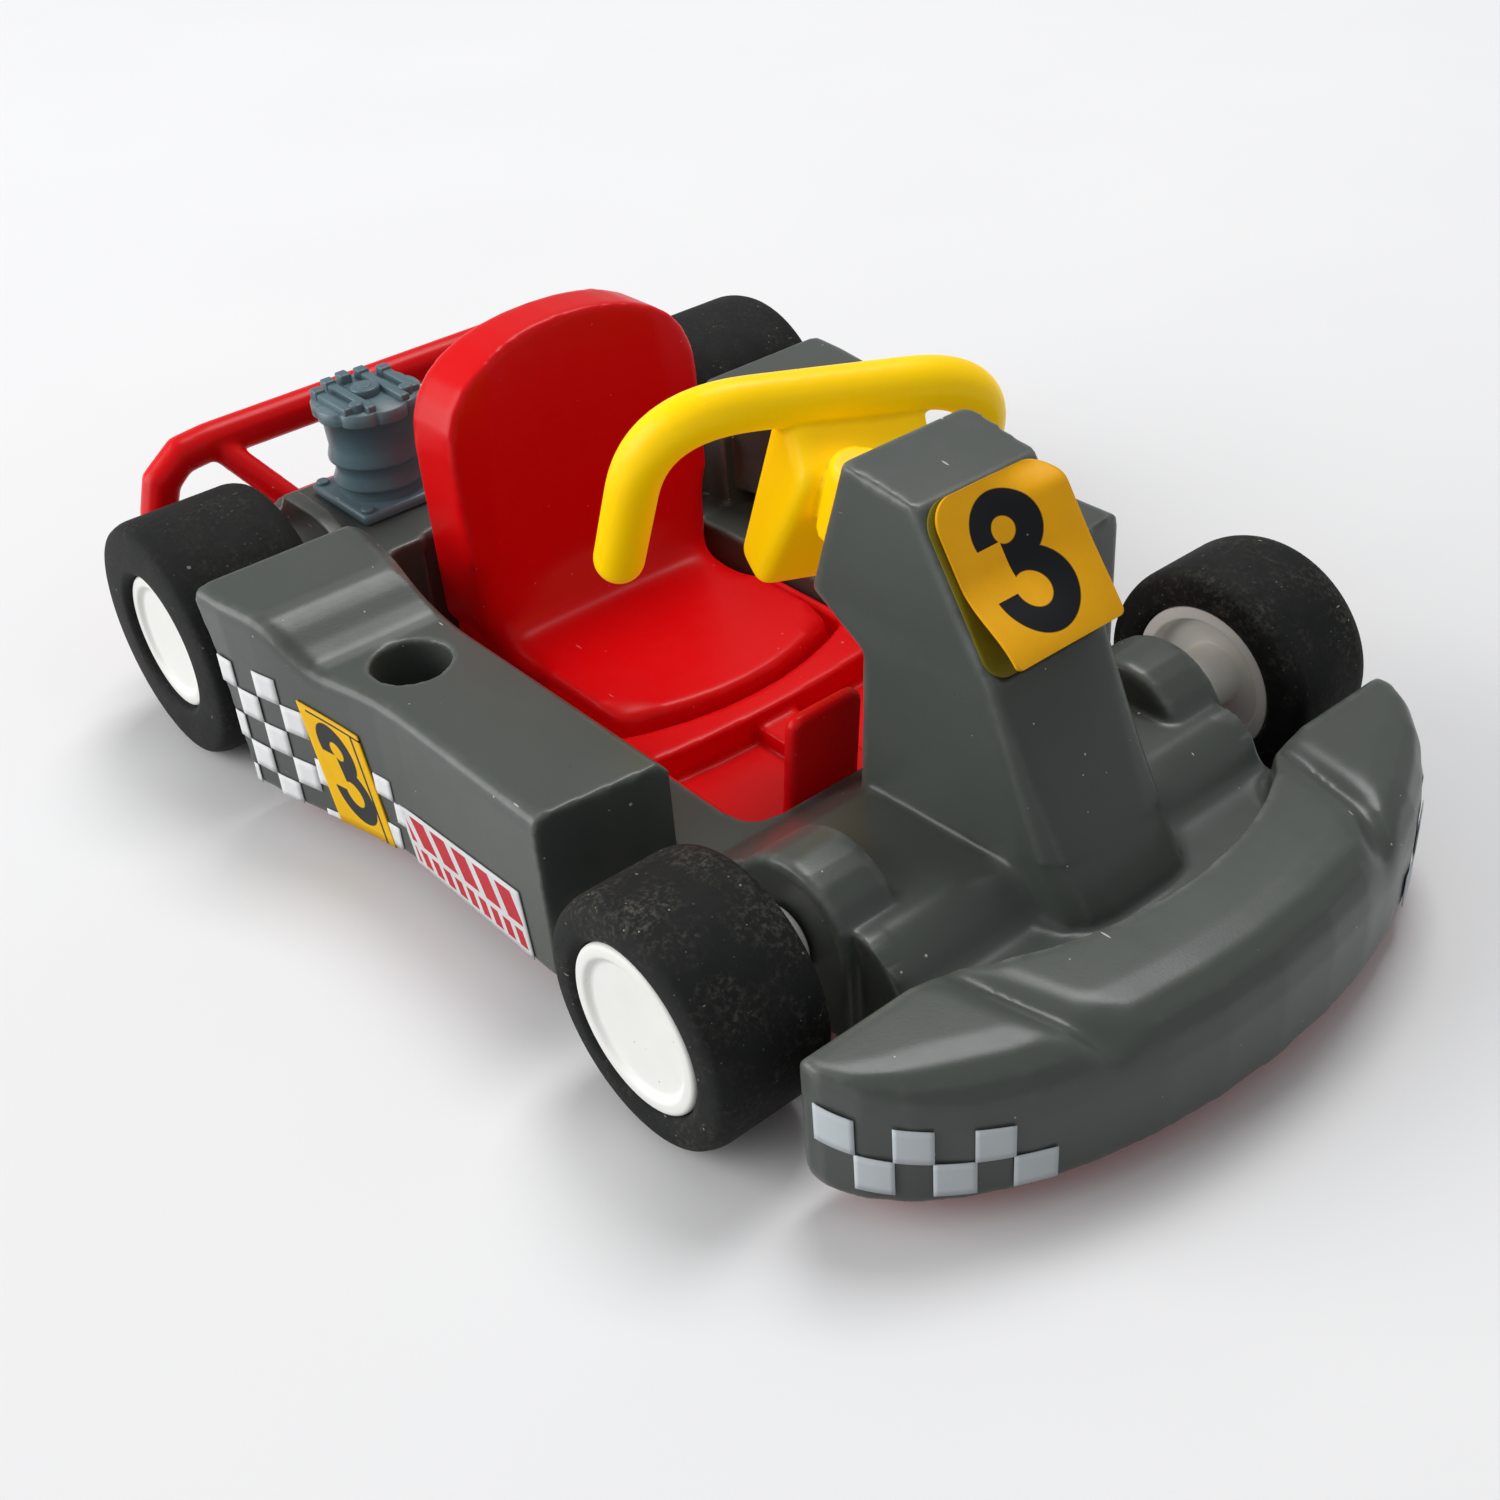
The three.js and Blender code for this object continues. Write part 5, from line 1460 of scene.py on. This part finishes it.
    def head(self, bm: bmesh.types.BMesh) -> None:
        """Adds the head's fins with their lugs, the plug and two studs."""
        root = self.head_high - self.sunk
        half = self.lug_half
        for y in self.fins:
            reach = math.sqrt(self.head_radius**2 - y**2) - self.fin_short
            high = (reach, y + self.fin_half, self.top - self.fin_drop)
            self.block(bm, (-reach, y - self.fin_half, root), high, self.fin_edge)
            high = (self.lug_length - reach, y + half, self.top)
            self.block(bm, (-reach, y - half, root), high, self.lug_edge)
        inset, front = self.middle_lug
        self.block(bm, (-self.head_radius + inset, -half, root), (front, half, self.top), self.lug_edge)
        self.peg(bm, 0.0, 0.0, root, self.top - self.plug_drop, self.plug_radius)
        self.peg(bm, 0.0, 0.0, root, self.top, self.tip_radius)
        for y in self.studs:
            self.peg(bm, self.stud_front, y, root, self.top - self.stud_drop, self.bolt_radius)

    def build(self) -> bpy.types.Object:
        """Makes the engine.

        Returns:
            The object, not yet dressed.
        """
        bm = bmesh.new()
        self.turned(bm)
        self.foot(bm)
        self.head(bm)
        bmesh.ops.recalc_face_normals(bm, faces=bm.faces)
        return as_object("engine_moulding", bm)

    def dress(self, piece: bpy.types.Object) -> None:
        """Gives the engine its finish and the chassis."""
        mark_bends(piece.data)
        settle(piece, BLUE_GREY.material(), "chassis", "engine")


Sheet = Callable[[float, float], Vector]
Lift = Callable[[float, float], float]


def lay_film(bm: bmesh.types.BMesh, place: Sheet, across: int, up: int, outward: Vector) -> None:
    """Lays a gridded film on a surface and maps it.

    Args:
        bm: The mesh that takes it.
        place: Gives the point for shares of the film's width and height.
        across: Cells across.
        up: Cells upwards.
        outward: Roughly the way that the film faces.
    """
    layer = bm.loops.layers.uv.get("film") or bm.loops.layers.uv.new("film")
    made = bmesh.ops.create_grid(bm, x_segments=across, y_segments=up, size=0.5)["verts"]
    shares = {}
    for vertex in made:
        u = vertex.co.x + 0.5
        v = vertex.co.y + 0.5
        shares[vertex] = (u, v)
        vertex.co = place(u, v)
    faces = list(dict.fromkeys(face for vertex in made for face in vertex.link_faces))
    for face in faces:
        face.normal_update()
        for loop in face.loops:
            loop[layer].uv = shares[loop.vert]
    facing = sum((face.normal for face in faces), Vector())
    if facing.dot(outward) < 0:
        bmesh.ops.reverse_faces(bm, faces=faces)


def thicken(piece: bpy.types.Object, thickness: float) -> None:
    """Gives a film its thickness outwards, in millimetres."""
    solid = piece.modifiers.new("film", "SOLIDIFY")
    solid.thickness = thickness * MM
    solid.offset = 1.0


@dataclass
class SidePrints:
    """The printed film along one pod: checks, a number and a band of bars."""

    side: int
    lift: float = 0.06
    film: float = 0.09
    columns: int = 4
    column: float = 3.1
    rows: int = 5
    row: float = 2.95
    back: float = -24.9
    top: float = 17.3
    low: float = 3.35
    gap: float = 0.03
    rise: float = 0.05
    pod_half: float = 34.8
    flare: float = 4.6
    flare_front: float = 1.0
    flare_length: float = 26.7
    limit: float = 17.5
    limit_back: float = -17.0
    limit_fall: float = 0.14
    fender_back: float = -25.35
    fender_top: float = 23.4
    fender_height: float = 20.4
    fender_rake: float = 3.0
    number_size: tuple[float, float] = (7.5, 12.3)
    bars_size: tuple[float, float] = (18.8, 6.3)
    number_thicker: float = 1.6
    loose: tuple[tuple[float, float, float, float], ...] = (
        (-12.5, 12.9, -11.2, 15.8),
        (-12.5, 7.0, -9.9, 9.9),
        (-12.5, 3.4, -9.9, 4.1),
        (-4.5, 9.1, -2.1, 11.4),
        (-2.1, 6.8, -0.6, 9.1),
        (-3.9, 3.6, -2.1, 6.1),
    )

    @property
    def hand(self) -> str:
        """The side's name."""
        return hand_of(self.side)

    def pod_out(self, x: float) -> float:
        """The pod's outer line at a place along the kart."""
        return self.pod_half + self.flare * ease((self.flare_front - x) / self.flare_length)

    def on_pod(self, x: float, z: float) -> Vector:
        """A point on the pod's side."""
        return at(x, self.side * (self.pod_out(x) + self.lift), z)

    def quad(self, corners: Sequence[tuple[float, float]]) -> Sheet:
        """A film between four corners on the pod: low back, low front, high back, high front."""

        def place(u: float, v: float) -> Vector:
            """The film's point for its shares."""
            low = [a + (b - a) * u for a, b in zip(corners[0], corners[1])]
            high = [a + (b - a) * u for a, b in zip(corners[2], corners[3])]
            x, z = (a + (b - a) * v for a, b in zip(low, high))
            return self.on_pod(x, z)

        return place

    def line(self, x: float, level: int) -> float:
        """Height of a row's edge, which rises slightly towards the front."""
        return self.top - level * self.row + self.rise * (x - self.back)

    def top_at(self, x: float) -> float:
        """Upper limit of the film, which falls towards the front."""
        return self.limit - self.limit_fall * max(x - self.limit_back, 0.0)

    def back_at(self, z: float) -> float:
        """The raked back edge of the fender at a height."""
        return self.fender_back + self.fender_rake * (self.fender_top - z) / self.fender_height

    def checks(self) -> bpy.types.Object:
        """The white squares, each its own patch of film."""
        bm = bmesh.new()
        gap = self.gap
        squares = []
        for level in range(self.rows):
            for number in range(level % 2, self.columns, 2):
                x0 = self.back + number * self.column
                x1 = x0 + self.column
                squares.append((x0, self.line(x0, level + 1), x1, self.line(x0, level)))
        for x0, z0, x1, z1 in (*squares, *self.loose):
            low = max(z0, self.low) + gap
            high = min(z1, self.top_at((x0 + x1) / 2)) - gap
            behind = max(x0, self.back_at((low + high) / 2)) + gap
            ahead = x1 - gap
            corners = [(behind, low), (ahead, low), (behind, high), (ahead, high)]
            lay_film(bm, self.quad(corners), 4, 4, Vector((0, self.side, 0)))
        return as_object(f"side_checks_{self.hand}", bm)

    def panel(self, name: str, corners: Sequence[tuple[float, float]], turned: bool) -> bpy.types.Object:
        """A printed panel.

        Args:
            name: The piece's name without its side.
            corners: The film's corners on the pod.
            turned: Turns the map, for the left side, where the film starts at its right end.

        Returns:
            The object.
        """
        bm = bmesh.new()
        lay_film(bm, self.quad(corners), 36, 12, Vector((0, self.side, 0)))
        if turned:
            layer = bm.loops.layers.uv["film"]
            for face in bm.faces:
                for loop in face.loops:
                    loop[layer].uv.x = 1.0 - loop[layer].uv.x
        return as_object(f"{name}_{self.hand}", bm)

    def build(self) -> list[bpy.types.Object]:
        """Makes the checks, the number and the bars.

        Returns:
            The three objects, not yet dressed.
        """
        turned = self.side > 0
        number_corners = [(-10.7, 3.35), (-3.3, 3.3), (-13.0, 16.2), (-5.5, 14.9)]
        bars_corners = [(0.1, 3.3), (18.7, 3.4), (-1.4, 9.2), (17.9, 10.3)]
        number = self.panel("side_number", number_corners, turned)
        bars = self.panel("side_bars", bars_corners, turned)
        return [self.checks(), number, bars]

    def dress(self, made: Sequence[bpy.types.Object]) -> None:
        """Gives each film its print, its thickness and the chassis."""
        node = f"side_sticker_{self.hand}"
        checks, number, bars = made
        thicken(checks, self.film)
        printed = PrintedFilm(checks.name, Print.SIDE_CHECKS)
        settle(checks, printed.material(), "chassis", node)
        thicken(number, self.film * self.number_thicker)
        printed = PrintedFilm(number.name, Print.SIDE_NUMBER, *self.number_size)
        settle(number, printed.material(), "chassis", node, False)
        thicken(bars, self.film)
        printed = PrintedFilm(bars.name, Print.BARS, *self.bars_size)
        settle(bars, printed.material(), "chassis", node, False)


@dataclass
class BumperPrints:
    """Two rows of pale checks on one end of the front bumper."""

    side: int
    back: float = 51.75
    depth: float = 16.5
    half: float = 34.1
    lift: float = 0.06
    film: float = 0.09
    stops: tuple[float, ...] = (84.0, 74.1, 65.9, 58.5, 51.3, 45.0, 38.3)
    high: float = 11.35
    fall: float = 0.048
    fall_from: float = 74.0
    row: float = 3.0
    row_growth: float = 0.012
    row_from: float = 40.0
    low: float = 3.15
    gap: float = 0.15
    inside: tuple[float, float, float] = (45.0, 0.0, 8.0)

    def on_wall(self, angle: float, z: float) -> Vector:
        """A point on the bumper's upright wall; the angle runs round its plan, in degrees."""
        turn = math.radians(angle)
        x = self.back + self.depth * math.cos(turn)
        y = self.half * math.sin(turn)
        normal = Vector((math.cos(turn) / self.depth, math.sin(turn) / self.half)).normalized()
        return at(x + normal.x * self.lift, self.side * (y + normal.y * self.lift), z)

    def square(self, first: float, last: float, level: int) -> Sheet:
        """One square between two angles; level 0 is the upper row."""

        def place(u: float, v: float) -> Vector:
            """The square's point for its shares."""
            angle = first + self.gap + (last - first - 2 * self.gap) * u
            row = self.row + self.row_growth * (angle - self.row_from)
            top = self.high - row * level - self.fall * (self.fall_from - angle)
            return self.on_wall(angle, max(top - row * (1.0 - v), self.low))

        return place

    def build(self) -> bpy.types.Object:
        """Makes the squares.

        Returns:
            The object, not yet dressed.
        """
        bm = bmesh.new()
        for number, (first, last) in enumerate(zip(self.stops, self.stops[1:])):
            outward = self.on_wall((first + last) / 2, self.inside[2]) - at(*self.inside)
            lay_film(bm, self.square(first, last, number % 2), 8, 5, outward)
        return as_object(f"bumper_checks_{hand_of(self.side)}", bm)

    def dress(self, piece: bpy.types.Object) -> None:
        """Gives the squares their print, their thickness and the chassis."""
        thicken(piece, self.film)
        node = f"bumper_sticker_{hand_of(self.side)}"
        settle(piece, PrintedFilm(piece.name, Print.CHECKS).material(), "chassis", node)


@dataclass
class NumberPlate:
    """The number film on the column, lifting at its right and lower edges, over a dark olive sheet that
    paints the shade under the lifted film.
    """

    top: tuple[float, float] = (36.4, 41.3)
    foot: tuple[float, float] = (44.2, 29.0)
    half: float = 5.9
    height: float = 13.9
    corner: float = 2.3
    low_corner: float = 0.5
    film: float = 0.22
    start: float = -0.05
    lift: float = 0.32
    right_start: float = -1.0
    right_lift: float = 0.5
    right_more: float = 1.6
    right_length: float = 2.8
    low_start: float = -6.5
    low_length: float = 7.4
    low_lift: float = 2.3
    low_held: float = 0.85
    # Size, lift and thickness of the dark sheet of painted shade under the film.
    painted_shade_sheet_wider: float = 0.6
    painted_shade_sheet_taller: float = 0.4
    painted_shade_sheet_corner: float = 2.0
    painted_shade_sheet_lift: float = 0.06
    painted_shade_sheet: float = 0.12

    def on_face(self, across: float, up: float, lift: float) -> Vector:
        """A point on the inclined face, lifted off it."""
        rise = Vector((self.top[0] - self.foot[0], self.top[1] - self.foot[1])).normalized()
        x = self.top[0] + rise.x * up + rise.y * lift
        z = self.top[1] + rise.y * up - rise.x * lift
        return at(x, across, z)

    def curl(self, across: float, up: float) -> float:
        """How far the film stands off the face."""
        right = ease((across - self.right_start) / (self.half - self.right_start))
        lower = ease((self.low_start - up) / self.low_length)
        side = right * (self.right_lift + self.right_more * ease(-up / self.right_length))
        return self.lift + side + self.low_lift * lower * (1.0 - self.low_held * right)

    def flat(self, _across: float, _up: float) -> float:
        """How far the sheet of painted shade stands off the face, the same all over."""
        return self.painted_shade_sheet_lift

    @staticmethod
    def half_at(drop: float, half: float, corner: float) -> float:
        """Half width at a distance from the nearer end, with rounded corners."""
        if drop >= corner:
            return half
        return half - corner + math.sqrt(max(corner**2 - (corner - drop) ** 2, 0.0))

    def sheet(self, name: str, half: float, height: float, low_corner: float, lift: Lift) -> bpy.types.Object:
        """A film of the plate's outline.

        Args:
            name: The piece's name.
            half: Half its width.
            height: Its height.
            low_corner: Radius of its lower corners.
            lift: Gives the lift at a place across and up.

        Returns:
            The object.
        """
        bm = bmesh.new()
        map_points = {}

        def place(u: float, v: float) -> Vector:
            """The film's point for its shares."""
            drop = height * (1.0 - ease(v))
            wide = min(self.half_at(drop, half, self.corner), self.half_at(height - drop, half, low_corner))
            across = (2.0 * u - 1.0) * wide
            up = self.start - drop
            point = self.on_face(across, up, lift(across, up))
            map_points[point.freeze()] = (across / (2 * half) + 0.5, 1.0 - drop / height)
            return point

        lay_film(bm, place, 40, 48, self.on_face(0, 0, 1) - self.on_face(0, 0, 0))
        layer = bm.loops.layers.uv["film"]
        for face in bm.faces:
            for loop in face.loops:
                loop[layer].uv = map_points[loop.vert.co.copy().freeze()]
        return as_object(name, bm)

    def build(self) -> list[bpy.types.Object]:
        """Makes the film and the dark sheet of painted shade under it.

        Returns:
            Both objects, not yet dressed.
        """
        film = self.sheet("number_film", self.half, self.height, self.low_corner, self.curl)
        half = self.half + self.painted_shade_sheet_wider
        height = self.height + self.painted_shade_sheet_taller
        painted_shade_sheet = self.sheet("number_painted_shade_sheet", half, height, self.painted_shade_sheet_corner, self.flat)
        return [film, painted_shade_sheet]

    def dress(self, made: Sequence[bpy.types.Object]) -> None:
        """Gives both films their print, their thickness and the chassis."""
        film, painted_shade_sheet = made
        thicken(film, self.film)
        printed = PrintedFilm(film.name, Print.PLATE, 2 * self.half, self.height)
        settle(film, printed.material(), "chassis", "number_plate")
        # The dark olive sheet paints the shade under the lifted film.
        thicken(painted_shade_sheet, self.painted_shade_sheet)
        printed = PrintedFilm(painted_shade_sheet.name, Print.PAINTED_SHADE_SHEET)
        settle(painted_shade_sheet, printed.material(), "chassis", "number_plate", False)


@dataclass
class Metalwork:
    """The steel axles and the steering pin, which keep their solids."""

    nodes: tuple[str, ...] = ("front_axle", "rear_axle", "steering_pin")

    def dress(self) -> None:
        """Gives each rod its steel."""
        material = STEEL.material()
        for node in self.nodes:
            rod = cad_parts[node]
            rod.data.materials.clear()
            rod.data.materials.append(material)
            LOG.info("%s keeps its solid", node)


@dataclass
class Studio:
    """A pale paper floor, soft light from the side and from behind, and an even surround."""

    floor_half: float = 2.5
    world_colour: Colour = (0.98, 0.99, 1.0)
    world_level: float = 0.38

    def build(self) -> None:
        """Makes the floor, the lamps and the world."""
        bm = bmesh.new()
        bmesh.ops.create_grid(bm, x_segments=4, y_segments=4, size=self.floor_half)
        floor = as_object("floor", bm)
        floor.data.materials.append(Paper("paper").material())
        self.lamp("left", place=(-0.62, -0.98, 0.42), size=1.10, power=15.0)
        self.lamp("back", place=(-0.25, 0.40, 1.05), size=0.50, power=6.8)
        self.surround()

    def lamp(self, name: str, place: Sequence[float], size: float, power: float) -> None:
        """One soft square lamp that points at the kart.

        Args:
            name: Its name.
            place: Where it hangs, in metres.
            size: Its side, in metres.
            power: Its power in watts.
        """
        data = bpy.data.lights.new(name, "AREA")
        data.size = size
        data.energy = power
        made = bpy.data.objects.new(name, data)
        bpy.context.scene.collection.objects.link(made)
        made.location = place
        made.rotation_euler = Vector(place).to_track_quat("Z", "Y").to_euler()

    def surround(self) -> None:
        """An even pale world."""
        world = bpy.data.worlds.new("surround")
        world.use_nodes = True
        sky = world.node_tree.nodes["Background"]
        sky.inputs["Color"].default_value = (*self.world_colour, 1.0)
        sky.inputs["Strength"].default_value = self.world_level
        bpy.context.scene.world = world


@dataclass
class PhotoCamera:
    """A camera at the photograph's place and angle."""

    place: tuple[float, float, float] = (123.0, -90.2, 105.06)
    azimuth: float = 52.54
    elevation: float = 35.13
    roll: float = -4.72
    focal: float = 1820.66
    picture: float = 1500.0
    sensor: float = 36.0
    clip: tuple[float, float] = (0.005, 50.0)

    def build(self) -> None:
        """Makes the camera and hands it to the scene."""
        around, above, tilt = (math.radians(a) for a in (self.azimuth, self.elevation, self.roll))
        back = Vector(
            (math.sin(around) * math.cos(above), -math.cos(around) * math.cos(above), math.sin(above))
        )
        right = Vector((math.cos(around), math.sin(around), 0.0))
        up = back.cross(right)
        turned_right = math.cos(tilt) * right + math.sin(tilt) * up
        turned_up = math.cos(tilt) * up - math.sin(tilt) * right
        data = bpy.data.cameras.new("photo")
        data.sensor_width = self.sensor
        data.lens = self.focal / self.picture * self.sensor
        data.clip_start, data.clip_end = self.clip
        camera = bpy.data.objects.new("photo", data)
        bpy.context.scene.collection.objects.link(camera)
        turn = Matrix((turned_right, turned_up, back)).transposed().to_4x4()
        camera.matrix_world = Matrix.Translation(at(*self.place)) @ turn
        bpy.context.scene.camera = camera


def mouldings() -> Iterable[Moulding]:
    """The five moulded pieces."""
    yield BodyMoulding("body_shell", "chassis", GREY, voxel=0.30, rounds=6, most_faces=195000, soft_rounds=40)
    yield PanMoulding("base_pan", "chassis", RED, voxel=0.34, rounds=6, most_faces=120000)
    yield SeatMoulding("seat", "chassis", RED, voxel=0.34, rounds=10, most_faces=80000, soft_rounds=140)
    yield Moulding("rear_bumper", "chassis", RED, voxel=0.30, rounds=12, most_faces=60000)
    yield YokeMoulding("steering_yoke", "steering", YELLOW, voxel=0.26, rounds=10, most_faces=60000)


def wheels() -> Iterable[Wheel]:
    """The four wheels."""
    for side in (1, -1):
        yield Wheel(
            end="front",
            side=side,
            axle=(38.05, 10.8),
            radius=10.8,
            width=11.3,
            track=77.0,
            rim_radius=7.3,
            rim_set=0.15,
            hub_inner=-9.75,
            dust=1.0 if side < 0 else 0.8,
        )
        yield Wheel(
            end="rear",
            side=side,
            axle=(-38.05, 12.5),
            radius=12.5,
            width=14.4,
            track=80.2,
            rim_radius=7.1,
            rim_set=0.7,
            hub_inner=-10.4,
            dust=0.35,
        )


def main() -> None:
    """Builds the kart's pieces in order and dresses them."""
    logging.basicConfig(level=logging.INFO, format="%(name)s: %(message)s")
    bpy.context.scene.view_settings.view_transform = "Standard"
    PhotoCamera().build()
    for moulding in mouldings():
        moulding.dress(moulding.build())
    engine = Engine()
    engine.dress(engine.build())
    for wheel in wheels():
        wheel.dress(wheel.build())
    for side in (1, -1):
        prints = SidePrints(side)
        prints.dress(prints.build())
        checks = BumperPrints(side)
        checks.dress(checks.build())
    plate = NumberPlate()
    plate.dress(plate.build())
    Metalwork().dress()
    Studio().build()


if __name__ == "__main__":
    main()
